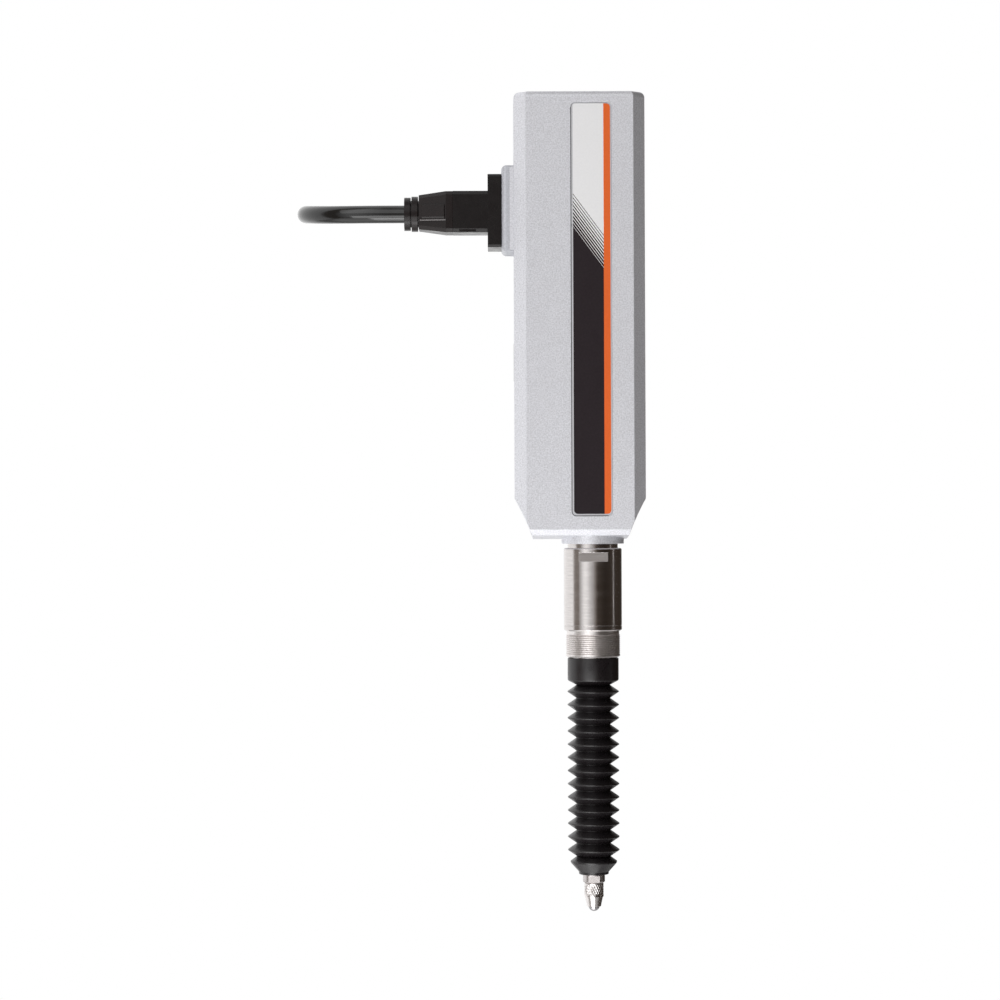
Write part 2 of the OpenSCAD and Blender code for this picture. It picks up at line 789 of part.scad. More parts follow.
module guide_rail() {
  color([0.5, 0.5, 0.52]) difference() {
    block([rail_left, -rail_w / 2, rail_z], [in_right, rail_w / 2, rail_top]);
    block([rail_left - 1, -pin_d / 2 - slide_gap, rail_z + rail_end],
      [slot_right, pin_d / 2 + slide_gap, rail_top - rail_end]);
    for (z = [rail_z + rail_end / 2, rail_top - rail_end / 2]) {
      rod_x(0, z, rail_left - 1, in_right + 1, small_screw_r + seat_gap);
      rod_x(0, z, rail_left - 1, rail_left + small_head_h, small_head_r + seat_gap);
    }
  }
}

module rail_screws() {
  color([0.6, 0.6, 0.6]) for (z = [rail_z + rail_end / 2, rail_top - rail_end / 2]) {
    rod_x(0, z, rail_left, rail_left + small_head_h, small_head_r);
    rod_x(0, z, rail_left + small_head_h - eps, in_right + rail_screw_sink, small_screw_r);
  }
}

// Flange under the roof with the rod that keeps the spring straight
guide_flange_t = 1.5;
module spring_guide() {
  color([0.65, 0.65, 0.67]) {
    translate([0, 0, roof_z - guide_flange_t]) cylinder(h = guide_flange_t, r = spindle_d / 2 + 0.8);
    translate([0, 0, spindle_top - 2]) cylinder(h = roof_z - spindle_top + 1, r = guide_bore_d / 2 - 0.4);
  }
}

// Centre line of the spring's wire
coil_steps = 10;
coil_r = (spindle_d + guide_bore_d) / 4;
spring_z = spindle_top + wire_d / 2 + press_gap;
spring_rise = roof_z - guide_flange_t - wire_d / 2 - press_gap - spring_z;
coil_route = [
  for (i = [0:spring_turns * coil_steps])
  let (a = 360 * i / coil_steps)
  [coil_r * cos(a), coil_r * sin(a), spring_z + spring_rise * i / (spring_turns * coil_steps)]
];

module return_spring() {
  color([0.6, 0.6, 0.62]) tube(coil_route, wire_d, 5, [1, 0, 0]);
}

// Yoke round the scale: lamp arm in front, detector arm behind, web at the left wall
module detector_head() {
  color([0.15, 0.15, 0.16]) difference() {
    block([in_left, scale_front - 4, head_z], [head_right, board_front, head_z + head_h]);
    block([scale_left - air_gap, scale_front - air_gap, head_z - 1],
      [head_right + 1, scale_back + air_gap, head_z + head_h + 1]);
    rod_y((scale_left + scale_right) / 2, head_z + head_h / 2, scale_front - 5, scale_front, 1.6);
    block([window_left, scale_back, window_z], [window_right, board_front + 1, window_z + window_h]);
  }
}

module light_source() {
  color([0.9, 0.9, 0.95]) rod_y((scale_left + scale_right) / 2, head_z + head_h / 2,
    scale_front - 4, scale_front - 0.8, 1.5);
}

module index_glass() {
  color([0.75, 0.85, 0.85, 0.6]) block([window_left + seat_gap, scale_back + 0.25, window_z + seat_gap],
    [window_right - seat_gap, scale_back + 0.75, window_z + window_h - seat_gap]);
}

module photodetector() {
  color([0.2, 0.2, 0.25]) block([window_left + seat_gap, scale_back + 0.75, window_z + seat_gap],
    [window_right - seat_gap, board_front, window_z + window_h - seat_gap]);
}

module circuit_board() {
  color([0.1, 0.4, 0.2]) difference() {
    block([board_left, board_front, board_z], [board_right, board_back, board_top]);
    for (b = board_screw_places) {
      rod_y(b[0], b[1], board_front - 1, board_back + 1, small_screw_r + seat_gap);
    }
  }
}

// Each chip: its left edge from the board's right edge, its foot from the board's top, its size
chips = [[-13, -26.8, 8, 8], [-13, -14.8, 5, 6], [-5.5, -14.8, 3.5, 6]];
chip_t = 1.1;
module board_chips() {
  color([0.08, 0.08, 0.09]) for (c = chips) {
    translate([board_right + c[0], board_front - chip_t, board_top + c[1]])
      cube([c[2], chip_t, c[3]]);
  }
}

// Open-fronted header for the wires from the socket
header_w = 5.6;
header_h = 5;
header_t = 1.2;
header_wall = 0.8;
header_drop = 6;
module board_header() {
  x = board_left + board_screw_inset;
  z = board_top - header_drop - header_h;
  color([0.85, 0.83, 0.75]) difference() {
    block([x, board_front - header_t, z], [x + header_w, board_front, z + header_h]);
    block([x + header_wall, board_front - 2 * header_t, z + header_wall],
      [x + header_w - header_wall, board_front - header_t / 3, z + header_h - header_wall]);
  }
}

module board_screws() {
  color([0.7, 0.7, 0.7]) for (b = board_screw_places) {
    rod_y(b[0], b[1], board_front - small_head_h, board_front, small_head_r);
    rod_y(b[0], b[1], board_front - eps, cover_y + board_screw_sink, small_screw_r);
  }
}

// Silver spacer between the housing's side and the socket, with its outer edges rounded
spacer_round = 1.3;
module connector_spacer() {
  y0 = plug_back - spacer_d / 2;
  z0 = plug_z + spacer_lift - spacer_h / 2;
  color([0.8, 0.8, 0.82]) difference() {
    intersection() {
      rotate([90, 0, 0]) translate([0, 0, -y0 - spacer_d - 1])
        linear_extrude(spacer_d + 2) spacer_face(z0, z0 + spacer_h);
      linear_extrude(2 * body_top) spacer_face(y0, y0 + spacer_d);
    }
    rod_x(plug_back, plug_z, spacer_x - 1, left_x + 1, barrel_d / 2 + seat_gap);
    for (y = [-1, 1] * socket_screw_y) {
      for (z = [-1, 1] * socket_screw_z) {
        rod_x(plug_back + y, plug_z + z, spacer_x - 1, left_x + 1, small_screw_r + seat_gap);
      }
    }
  }
}

// Rectangle from the spacer's outer face to the housing, with its two outer corners rounded
module spacer_face(low, high) {
  translate([spacer_x + spacer_round, low]) square([spacer_t - spacer_round, high - low]);
  translate([spacer_x, low + spacer_round]) square([spacer_t, high - low - 2 * spacer_round]);
  for (v = [low + spacer_round, high - spacer_round]) {
    translate([spacer_x + spacer_round, v]) circle(r = spacer_round);
  }
}

// Rectangle round the middle, d deep and h high, with its corners bevelled
function bevelled(d, h, bevel) = [
  [-d / 2 + bevel, -h / 2], [d / 2 - bevel, -h / 2], [d / 2, -h / 2 + bevel], [d / 2, h / 2 - bevel],
  [d / 2 - bevel, h / 2], [-d / 2 + bevel, h / 2], [-d / 2, h / 2 - bevel], [-d / 2, -h / 2 + bevel]
];

// Black flange with its barrel through the wall and a pocket for the plug
socket_bevel = 0.6;
module socket() {
  color([0.1, 0.09, 0.08]) difference() {
    union() {
      translate([socket_x, plug_back, plug_z]) rotate([90, 0, 90]) linear_extrude(socket_t)
        polygon(bevelled(socket_d, socket_h, socket_bevel));
      rod_x(plug_back, plug_z, spacer_x - eps, in_left + 2, barrel_d / 2);
    }
    block([socket_x - 1, plug_back - plug_d / 2 - seat_gap, plug_z - plug_h / 2 - seat_gap],
      [socket_x + plug_nose, plug_back + plug_d / 2 + seat_gap, plug_z + plug_h / 2 + seat_gap]);
    for (y = [-1, 1] * socket_screw_y) {
      for (z = [-1, 1] * socket_screw_z) {
        rod_x(plug_back + y, plug_z + z, socket_x - 1, spacer_x + 1, small_screw_r + seat_gap);
        rod_x(plug_back + y, plug_z + z, socket_x - 1, socket_x + socket_head_sink + small_head_h,
          small_head_r + seat_gap);
      }
    }
    for (k = [0:contact_pins - 1]) {
      pin_hole(k, socket_x, in_left + 3);
    }
  }
}

// A hole for contact pin k from x0 to x1
module pin_hole(k, x0, x1) {
  a = 360 * k / contact_pins;
  rod_x(plug_back + pin_circle_r * cos(a), plug_z + pin_circle_r * sin(a), x0, x1, 0.4 + press_gap);
}

module socket_screws() {
  color([0.5, 0.5, 0.5]) for (y = [-1, 1] * socket_screw_y) {
    for (z = [-1, 1] * socket_screw_z) {
      rod_x(plug_back + y, plug_z + z, socket_x + socket_head_sink,
        socket_x + socket_head_sink + small_head_h, small_head_r);
      rod_x(plug_back + y, plug_z + z, socket_x + socket_head_sink + small_head_h - eps,
        left_x + socket_screw_sink, small_screw_r);
    }
  }
}

module socket_pins() {
  color([0.85, 0.7, 0.35]) for (k = [0:contact_pins - 1]) {
    a = 360 * k / contact_pins;
    rod_x(plug_back + pin_circle_r * cos(a), plug_z + pin_circle_r * sin(a),
      socket_x - 3, in_left + 2.6, 0.4);
  }
}

// Plug body with a latch along its lower edges
plug_bevel = 0.9;
latch_x = grip_x + 1.7;
latch_l = 4.2;
latch_h = 1.2;
latch_sink = 0.1;
module plug_body() {
  h = plug_h / 2;
  d = plug_d / 2;
  color([0.1, 0.1, 0.1]) difference() {
    union() {
      translate([grip_x, plug_back, plug_z]) rotate([90, 0, 90])
        linear_extrude(plug_l + plug_nose - seat_gap) polygon(bevelled(plug_d, plug_h, plug_bevel));
      block([latch_x, plug_back - d + latch_sink, plug_z - h + latch_sink],
        [latch_x + latch_l, plug_back + d - latch_sink, plug_z - h + latch_h]);
    }
    for (k = [0:contact_pins - 1]) {
      pin_hole(k, socket_x - 3.2, socket_x + plug_nose);
    }
  }
}

// Sections of the tapered grip: place along X, depth, height and bevel
grip_flat_l = 1.8;
grip_sections = [
  [relief_x, grip_end_h, grip_end_h, plug_bevel],
  [grip_x - grip_flat_l, plug_d - seat_gap, plug_h - seat_gap, plug_bevel],
  [grip_x, plug_d - seat_gap, plug_h - seat_gap, plug_bevel]
];

// Tapered grip with raised pads at its front and back and two rings round the cable's way out
module plug_grip() {
  color([0.1, 0.1, 0.1]) {
    translate([0, plug_back, plug_z]) {
      lofted(grip_sections);
      grip_pad();
      mirror([0, 1, 0]) grip_pad();
    }
    relief_rings(relief_x, relief_l);
  }
}

// Solid through bevelled sections that stand across X
module lofted(sections) {
  last = len(sections) - 1;
  points = [for (s = sections) for (p = bevelled(s[1], s[2], s[3])) [s[0], p[0], p[1]]];
  walls = [
    for (i = [0:last - 1])
    for (k = [0:7])
    let (m = (k + 1) % 8, p = 8 * i, q = p + 8)
    [p + k, q + k, q + m, p + m]
  ];
  low_cap = [for (k = [0:7]) k];
  high_cap = [for (k = [7:-1:0]) 8 * last + k];
  polyhedron(points, concat([low_cap], walls, [high_cap]));
}

// Raised pad on the grip's sloping front face, with its lower edge bevelled
pad_start = 0.8;
pad_l = 6;
pad_h = 3.6;
pad_t = 0.35;
pad_bevel = 0.5;
module grip_pad() {
  low = [relief_x, -grip_end_h / 2];
  high = [grip_x - grip_flat_l, -(plug_d - seat_gap) / 2];
  slope = atan2(high[1] - low[1], high[0] - low[0]);
  translate([low[0], low[1], -pad_h / 2]) rotate([0, 0, slope])
    translate([pad_start, 0, 0]) rotate([90, 0, 90]) linear_extrude(pad_l)
      polygon([[1, -pad_t], [0, -pad_t], [-pad_t, pad_bevel], [-pad_t, pad_h], [1, pad_h]]);
}

// Two rings on a thinner core, from x = right leftwards; the ring at the grip is larger
module relief_rings(right, length) {
  ring_l = length * 0.42;
  gap_l = length * 0.08;
  z = plug_z - relief_drop;
  rod_x(plug_back, z, right - length, right + eps, relief_d * 0.4);
  rod_x(plug_back, z, right - gap_l - ring_l, right - gap_l, relief_d / 2 + 0.25);
  rod_x(plug_back, z, right - length, right - length + ring_l, relief_d / 2);
}

module cable_lead() {
  color([0.1, 0.1, 0.1]) tube(lead_route, cable_d, cable_sides, [0, 0, 1]);
}

// Outline with round ends, r wide each side of the middle
module hank_outline(r) {
  square([2 * r, hank_run], center = true);
  for (z = [-1, 1] * hank_run / 2) {
    translate([0, z]) circle(r = r);
  }
}

module cable_hank() {
  color([0.1, 0.1, 0.1]) translate([hank_x, hank_back, hank_z + hank_run / 2]) rotate([90, 0, 0])
    linear_extrude(hank_back - hank_front) difference() {
      hank_outline(hank_r + cable_d / 2);
      hank_outline(hank_r - cable_d / 2);
    }
}

module cable_tail() {
  color([0.1, 0.1, 0.1]) tube(tail_route, cable_d, cable_sides, [0, 1, 0]);
}

// Strap outline round the hank and the end plug, grown by out
module strap_outline(out) {
  half = hank_r + cable_d / 2 + strap_gap - strap_corner;
  hull() {
    for (x = [hank_x - half, hank_x + half]) {
      for (y = [hank_front - strap_gap + strap_corner, hank_back + strap_gap - strap_corner]) {
        translate([x, y]) circle(r = strap_corner + out, $fn = 32);
      }
    }
    translate([end_x, end_y]) circle(r = end_body_d / 2 + strap_gap + out, $fn = 48);
  }
}

module cable_strap() {
  color([0.12, 0.12, 0.13]) translate([0, 0, strap_z]) difference() {
    linear_extrude(strap_w) strap_outline(strap_t);
    translate([0, 0, -1]) linear_extrude(strap_w + 2) strap_outline(0);
  }
}

// Round plug at the cable's far end, hanging straight down
end_body_top = end_top - end_relief_l;
end_shell_top = end_body_top - end_body_l;

module end_plug_relief() {
  color([0.1, 0.1, 0.1]) translate([end_x, end_y, 0]) rotate_extrude() polygon([
    [0, end_body_top], [4.4, end_body_top], [4.2, end_body_top + 3],
    [3.2, end_top], [0, end_top]
  ]);
}

module end_plug_body() {
  r = end_body_d / 2;
  color([0.12, 0.12, 0.12]) translate([end_x, end_y, 0]) difference() {
    rotate_extrude() polygon([
      [0, end_shell_top], [r - 0.6, end_shell_top], [r, end_shell_top + 0.6],
      [r, end_body_top - 1.2], [r - 1.2, end_body_top], [0, end_body_top]
    ]);
    for (k = [0:7]) {
      rotate([0, 0, 45 * k]) translate([r + 0.6, 0, end_shell_top + 8])
        cylinder(h = end_body_l, r = 1);
    }
  }
}

module end_plug_shell() {
  r = end_shell_d / 2;
  color([0.7, 0.7, 0.7]) translate([end_x, end_y, end_shell_top - end_shell_l]) difference() {
    cylinder(h = end_shell_l, r = r);
    translate([0, 0, -1]) cylinder(h = end_shell_l - 1, r = r - 0.7);
  }
}

housing();
rear_cover();
cover_gasket();
cover_screws();
label_plate();
stem();
bearing_sleeve();
wiper_seal();
stop_bumper();
ball_cage();
bearing_balls();
spindle();
contact_point();
contact_ball();
bellows();
scale_carriage();
carriage_screw();
glass_scale();
guide_pin();
guide_rail();
rail_screws();
spring_guide();
return_spring();
detector_head();
light_source();
index_glass();
photodetector();
circuit_board();
board_chips();
board_header();
board_screws();
connector_spacer();
socket();
socket_screws();
socket_pins();
plug_body();
plug_grip();
cable_lead();
cable_hank();
cable_tail();
cable_strap();
end_plug_relief();
end_plug_body();
end_plug_shell();
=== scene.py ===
"""Looks of the linear displacement sensor, in metres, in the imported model's own frame."""

import math

import bmesh
import bpy
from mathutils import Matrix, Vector


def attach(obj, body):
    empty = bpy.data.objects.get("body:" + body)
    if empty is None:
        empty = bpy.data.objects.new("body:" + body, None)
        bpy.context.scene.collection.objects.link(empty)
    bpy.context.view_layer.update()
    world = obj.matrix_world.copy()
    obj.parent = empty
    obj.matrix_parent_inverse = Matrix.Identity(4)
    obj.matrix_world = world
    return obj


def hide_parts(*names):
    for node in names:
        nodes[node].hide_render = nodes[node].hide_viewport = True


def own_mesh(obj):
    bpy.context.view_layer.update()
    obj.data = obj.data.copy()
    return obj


MM = 0.001
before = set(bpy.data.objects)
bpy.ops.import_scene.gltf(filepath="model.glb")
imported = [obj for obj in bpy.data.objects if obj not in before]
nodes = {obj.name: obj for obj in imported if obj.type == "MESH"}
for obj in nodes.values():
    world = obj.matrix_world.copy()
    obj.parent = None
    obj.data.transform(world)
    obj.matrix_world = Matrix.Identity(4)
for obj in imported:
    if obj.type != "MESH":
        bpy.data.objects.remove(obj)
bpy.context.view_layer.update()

# Sizes shared with the part's source, in millimetres
FRONT_Y = -9.5
CLAMP_TOP = 8.25
FLATS_TOP = 10.55
SHOULDER_TOP = 11.65
NECK_TOP = 12.8
TAIL_TOP = 44.0
RING_Z = -9.65
THREAD_Z = -16.5
NOSE_Z = -22.4
STEM_R = 7.5
FLATS_HALF = 6.5
NECK_R = 6.5
TAIL_R = 6.0
THREAD_R = 7.0
NOSE_R = 5.6
STEM_BORE_R = 4.52
SEAL_R = 3.3
BOOT_TOP = -16.7
BOOT_COLLAR_Z = -22.5
BOOT_COLLAR_R = 6.6
FIRST_ROOT_Z = -23.7
FOLDS = 13
FOLD_PITCH = 3.406
FOLD_R = 6.8
ROOT_R = 4.35
LAST_ROOT_Z = FIRST_ROOT_Z - FOLDS * FOLD_PITCH
LAST_FOLD_Z = LAST_ROOT_Z - 1.25
LAST_FOLD_R = 6.05
CUFF_Z = LAST_FOLD_Z - 2.75
BOOT_Z = CUFF_Z - 0.65
CUFF_BORE_R = 2.95
CUFF_R = 3.6
COLLAR_Z = -74.678
KNURL_Z = -78.378
TAPER_Z = -80.978
STUD_TOP = -69.678
CONTACT_R = 2.5
STUD_R = 1.2
SPRING_Z = 70.37
SPRING_TOP = 123.93
SPRING_TURNS = 22
COIL_R = 2.05
WIRE_R = 0.25
CABLE_R = 2.3
HANK_R = 13.8
HANK_X = -3.05
HANK_FIRST_Y = 16.2
HANK_LAST_Y = 52.775
HANK_Z = 33.4
HANK_TOP = 107.4

# Steps round a smooth turned piece
ROUND_STEPS = 112


# Camera
def add_camera():
    data = bpy.data.cameras.new("camera")
    data.sensor_width = 36.0
    data.lens = 111.4
    data.clip_start = 0.01
    data.clip_end = 50.0
    camera = bpy.data.objects.new("camera", data)
    camera.location = (-0.02391, -0.8, 0.02414)
    camera.rotation_euler = (math.radians(90), math.radians(0.22), 0)
    bpy.context.scene.collection.objects.link(camera)
    bpy.context.scene.camera = camera


add_camera()


# Mesh helpers, with points in millimetres
def add_mesh(name, points, faces, sharp_angle=None):
    """A piece from points and faces, smooth across edges flatter than sharp_angle in degrees."""
    mesh = bpy.data.meshes.new(name)
    mesh.from_pydata([[v * MM for v in p] for p in points], [], faces)
    bm = bmesh.new()
    bm.from_mesh(mesh)
    bmesh.ops.remove_doubles(bm, verts=bm.verts, dist=1e-8)
    bmesh.ops.recalc_face_normals(bm, faces=bm.faces)
    bm.to_mesh(mesh)
    bm.free()
    if sharp_angle is not None:
        mesh.shade_smooth()
        mesh.set_sharp_from_angle(angle=math.radians(sharp_angle))
    obj = bpy.data.objects.new(name, mesh)
    bpy.context.scene.collection.objects.link(obj)
    return obj


def grid_faces(rows, columns, closed_rows=False):
    """Quads of a grid whose columns go round; the last row joins the first if closed_rows."""
    faces = []
    for i in range(rows if closed_rows else rows - 1):
        for k in range(columns):
            a, b = i * columns + k, i * columns + (k + 1) % columns
            c, d = (i + 1) % rows * columns + k, (i + 1) % rows * columns + (k + 1) % columns
            faces.append((a, b, d, c))
    return faces


def turned(name, rows, angles, sharp_angle, closed=True):
    """A turned piece. Each row is (radius, z) or a function that turns an angle into a point."""
    points = []
    for row in rows:
        for a in angles:
            if callable(row):
                points.append(row(a))
            else:
                points.append((row[0] * math.cos(a), row[0] * math.sin(a), row[1]))
    return add_mesh(name, points, grid_faces(len(rows), len(angles), closed), sharp_angle)


def even_angles(count):
    return [2 * math.pi * k / count for k in range(count)]


def softened(points, reach, steps=3):
    """A section whose corners, all but its ends, are curves that start reach away, or less."""
    most = 0.45
    out = [points[0]]
    for i in range(1, len(points) - 1):
        before, p, after = (Vector(q) for q in points[i - 1 : i + 2])
        a = p + (before - p).normalized() * min(reach, (before - p).length * most)
        b = p + (after - p).normalized() * min(reach, (after - p).length * most)
        for s in range(steps + 1):
            t = s / steps
            out.append(tuple(a * (1 - t) ** 2 + p * 2 * t * (1 - t) + b * t * t))
    out.append(points[-1])
    return out


def smooth_path(points, step):
    """A smooth line through points, with places about step apart."""
    pts = [Vector(p) for p in points]
    pts = [2 * pts[0] - pts[1]] + pts + [2 * pts[-1] - pts[-2]]
    out = []
    for i in range(1, len(pts) - 2):
        a, b, c, d = pts[i - 1 : i + 3]
        count = max(1, round((c - b).length / step))
        for s in range(count):
            t = s / count
            out.append(
                0.5 * (2 * b + (c - a) * t + (2 * a - 5 * b + 4 * c - d) * t * t
                       + (3 * b - a - 3 * c + d) * t ** 3)
            )
    out.append(pts[-2])
    return out


def tube(name, path, radius, sides):
    """A round tube with flat ends along a path, without twist."""
    side = Vector((0, 0, 1))
    nearly_along = 0.95
    points = []
    for i, p in enumerate(path):
        t = (path[min(i + 1, len(path) - 1)] - path[max(i - 1, 0)]).normalized()
        if abs(side.dot(t)) > nearly_along:
            side = Vector((1, 0, 0))
        side = (side - t * side.dot(t)).normalized()
        other = t.cross(side)
        for k in range(sides):
            a = 2 * math.pi * k / sides
            points.append(p + radius * (math.cos(a) * side + math.sin(a) * other))
    faces = grid_faces(len(path), sides)
    faces.append(tuple(range(sides)))
    faces.append(tuple(range(len(points) - sides, len(points))))
    return add_mesh(name, points, faces, sharp_angle=50)


def plate(name, outline, y_front, thickness):
    """A flat plate facing the front, from its outline as (x, z) points."""
    count = len(outline)
    points = [(x, y_front, z) for x, z in outline]
    points += [(x, y_front + thickness, z) for x, z in outline]
    faces = [tuple(range(count)), tuple(range(2 * count - 1, count - 1, -1))]
    for k in range(count):
        m = (k + 1) % count
        faces.append((k, m, count + m, count + k))
    return add_mesh(name, points, faces)


# Cable: the route of the part's source, then the hank's turns, then the tail
LEAD = [
    (-48.4, 2.4, 98.3), (-52.1, 2.4, 98.3), (-56.6, 2.4, 98.3), (-64, 4, 98.4),
    (-70.2, 8.5, 98.8), (-74.1, 15.2, 99.5), (-74.9, 22.8, 100.2), (-72.5, 30.2, 100.9),
    (-67.4, 35.9, 101.4), (-60.3, 39, 101.7), (-53.1, 39.1, 101.7), (-46.2, 36.2, 101.4),
    (-39.1, 31.4, 101), (-32, 26.5, 100.6), (-26.1, 22.6, 99.2), (-21.3, 19.2, 95.2),
    (-17.9, 16.9, 89.2), (-16.85, 16.2, 82.1), (-16.85, 16.2, 76.3),
]
TAIL_START = (HANK_X + HANK_R, HANK_LAST_Y, HANK_TOP - 3.4)
TAIL_STEPS = [
    (0, 0, 0), (0, 0.1, 4), (-0.9, 0.5, 9), (-3.7, 1.4, 13.4),
    (-8, 2.6, 16.3), (-13.1, 3.8, 17.4), (-18.4, 5.1, 16.8), (-23, 6.4, 14.3),
    (-26.2, 7.6, 10.3), (-27.4, 8.5, 5.4), (-27.1, 9.1, 0.5), (-26, 9.3, -4.3),
    (-24.5, 9.3, -9), (-23.7, 9.3, -12), (-23.6, 9.3, -14), (-23.6, 9.3, -16),
]
TAIL = [tuple(a + b for a, b in zip(TAIL_START, step)) for step in TAIL_STEPS]


def hank_loop(s):
    """Place on the hank's outline at s millimetres from the top of its left run, going down."""
    run, arc = HANK_TOP - HANK_Z, math.pi * HANK_R
    s %= 2 * (run + arc)
    if s < run:
        return HANK_X - HANK_R, HANK_TOP - s
    if s < run + arc:
        a = (s - run) / HANK_R
        return HANK_X - HANK_R * math.cos(a), HANK_Z - HANK_R * math.sin(a)
    if s < 2 * run + arc:
        return HANK_X + HANK_R, HANK_Z + (s - run - arc)
    a = (s - 2 * run - arc) / HANK_R
    return HANK_X + HANK_R * math.cos(a), HANK_TOP + HANK_R * math.sin(a)


def hank_path():
    """The turns, from the end of the lead to the start of the tail; the first turn is wider."""
    whole_turns, first_pitch = 7, 5.6
    start_gap, end_gap, step = 6, 3, 5
    run, arc = HANK_TOP - HANK_Z, math.pi * HANK_R
    turn = 2 * (run + arc)
    start = HANK_TOP - LEAD[-1][2]
    end = whole_turns * turn + run + arc + (TAIL[0][2] - HANK_Z)
    pitch = (HANK_LAST_Y - HANK_FIRST_Y - first_pitch) / ((end - start) / turn - 1)
    path = []
    s = start + start_gap
    while s < end - end_gap:
        turns = (s - start) / turn
        y = HANK_FIRST_Y + (first_pitch * turns if turns < 1 else first_pitch + pitch * (turns - 1))
        x, z = hank_loop(s)
        path.append((x, y, z))
        s += step
    return path


def add_cable():
    path = smooth_path(LEAD + hank_path() + TAIL, step=3)
    cable = tube("cable", path, CABLE_R, sides=20)
    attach(cable, "gauge_body")
    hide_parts("cable_lead", "cable_hank", "cable_tail")
    return cable


cable = add_cable()


# Materials. Nearly all of a noise lies between NOISE_LOW and NOISE_HIGH
NOISE_LOW = 0.3
NOISE_HIGH = 0.7


def noise_at(tree, place, scale):
    noise = tree.nodes.new("ShaderNodeTexNoise")
    noise.inputs["Scale"].default_value = scale
    tree.links.new(place, noise.inputs["Vector"])
    return noise.outputs["Fac"]


def add_tint(tree, place, shader, color, mottle, grain):
    """Colour that gets darker and lighter by the share mottle."""
    tint = tree.nodes.new("ShaderNodeValToRGB")
    dark, pale = tint.color_ramp.elements
    dark.position = NOISE_LOW
    pale.position = NOISE_HIGH
    dark.color = [c * (1 - mottle) for c in color] + [1]
    pale.color = [min(1, c * (1 + mottle)) for c in color] + [1]
    tree.links.new(noise_at(tree, place, 1 / (grain * MM)), tint.inputs["Fac"])
    tree.links.new(tint.outputs["Color"], shader.inputs["Base Color"])


def add_gloss(tree, place, shader, rough, rough_spread, grain):
    """Roughness that changes over patches five grains wide."""
    gloss = tree.nodes.new("ShaderNodeMapRange")
    gloss.inputs["From Min"].default_value = NOISE_LOW
    gloss.inputs["From Max"].default_value = NOISE_HIGH
    gloss.inputs["To Min"].default_value = max(0.02, rough - rough_spread)
    gloss.inputs["To Max"].default_value = rough + rough_spread
    tree.links.new(noise_at(tree, place, 0.2 / (grain * MM)), gloss.inputs["Value"])
    tree.links.new(gloss.outputs["Result"], shader.inputs["Roughness"])


def add_relief(tree, place, shader, bump, bump_size, edge):
    """Edges rounded over the width edge, and fine bumps; either is left out at 0."""
    normal = None
    if edge > 0:
        rounding = tree.nodes.new("ShaderNodeBevel")
        rounding.samples = 4
        rounding.inputs["Radius"].default_value = edge * MM
        normal = rounding.outputs["Normal"]
    if bump > 0:
        relief = tree.nodes.new("ShaderNodeBump")
        relief.inputs["Strength"].default_value = 1.0
        relief.inputs["Distance"].default_value = bump * MM
        tree.links.new(noise_at(tree, place, 1 / (bump_size * MM)), relief.inputs["Height"])
        if normal is not None:
            tree.links.new(normal, relief.inputs["Normal"])
        normal = relief.outputs["Normal"]
    if normal is not None:
        tree.links.new(normal, shader.inputs["Normal"])


def surface(name, color, metallic=0.0, rough=0.5, mottle=0.06, grain=0.4, rough_spread=0.08,
            bump=0.0, bump_size=0.3, stretch=(1, 1, 1), edge=0.15, coat=0.0, specular=0.5):
    """A material whose colour, gloss and relief vary with place; grain, bumps and edge in mm."""
    material = bpy.data.materials.new(name)
    material.use_nodes = True
    tree = material.node_tree
    tree.nodes.clear()
    output = tree.nodes.new("ShaderNodeOutputMaterial")
    shader = tree.nodes.new("ShaderNodeBsdfPrincipled")
    tree.links.new(shader.outputs["BSDF"], output.inputs["Surface"])
    shader.inputs["Metallic"].default_value = metallic
    shader.inputs["Coat Weight"].default_value = coat
    shader.inputs["Coat Roughness"].default_value = 0.15
    shader.inputs["Specular IOR Level"].default_value = specular
    texture = tree.nodes.new("ShaderNodeTexCoord")
    mapping = tree.nodes.new("ShaderNodeMapping")
    mapping.inputs["Scale"].default_value = stretch
    tree.links.new(texture.outputs["Object"], mapping.inputs["Vector"])
    place = mapping.outputs["Vector"]
    add_tint(tree, place, shader, color, mottle, grain)
    add_gloss(tree, place, shader, rough, rough_spread, grain)
    add_relief(tree, place, shader, bump, bump_size, edge)
    return material


def glass(name, color, rough):
    material = surface(name, color, rough=rough, mottle=0.02, edge=0)
    for node in material.node_tree.nodes:
        if node.type == "BSDF_PRINCIPLED":
            node.inputs["Transmission Weight"].default_value = 0.9
            node.inputs["IOR"].default_value = 1.5
    return material


PAINT = surface("silver_paint", (0.69, 0.695, 0.735), metallic=0.35, rough=0.42, mottle=0.16,
                grain=0.35, rough_spread=0.06, bump=0.012, bump_size=0.45, edge=0.25)
SPACER = surface("spacer_paint", (0.52, 0.53, 0.57), metallic=0.35, rough=0.42, mottle=0.12,
                 grain=0.35, bump=0.01, bump_size=0.45, edge=0.3)
STEEL = surface("stem_metal", (0.62, 0.59, 0.58), metallic=1.0, rough=0.18, mottle=0.06,
                grain=0.5, rough_spread=0.04, bump=0.0015, bump_size=0.2,
                stretch=(0.15, 0.15, 1.6), edge=0.1)
# Painted sheen: the thread's steel is lighter than the stem's, for the light its grooves catch
THREAD = surface("thread_metal", (0.74, 0.71, 0.70), metallic=1.0, rough=0.36, mottle=0.06,
                 grain=0.5, rough_spread=0.04, edge=0)
BRIGHT = surface("bright_steel", (0.62, 0.61, 0.60), metallic=1.0, rough=0.18, mottle=0.04,
                 grain=0.3, bump=0.001, bump_size=0.2, edge=0.08)
TIP = surface("contact_steel", (0.73, 0.70, 0.69), metallic=1.0, rough=0.27, mottle=0.03,
              grain=0.3, rough_spread=0.03, edge=0)
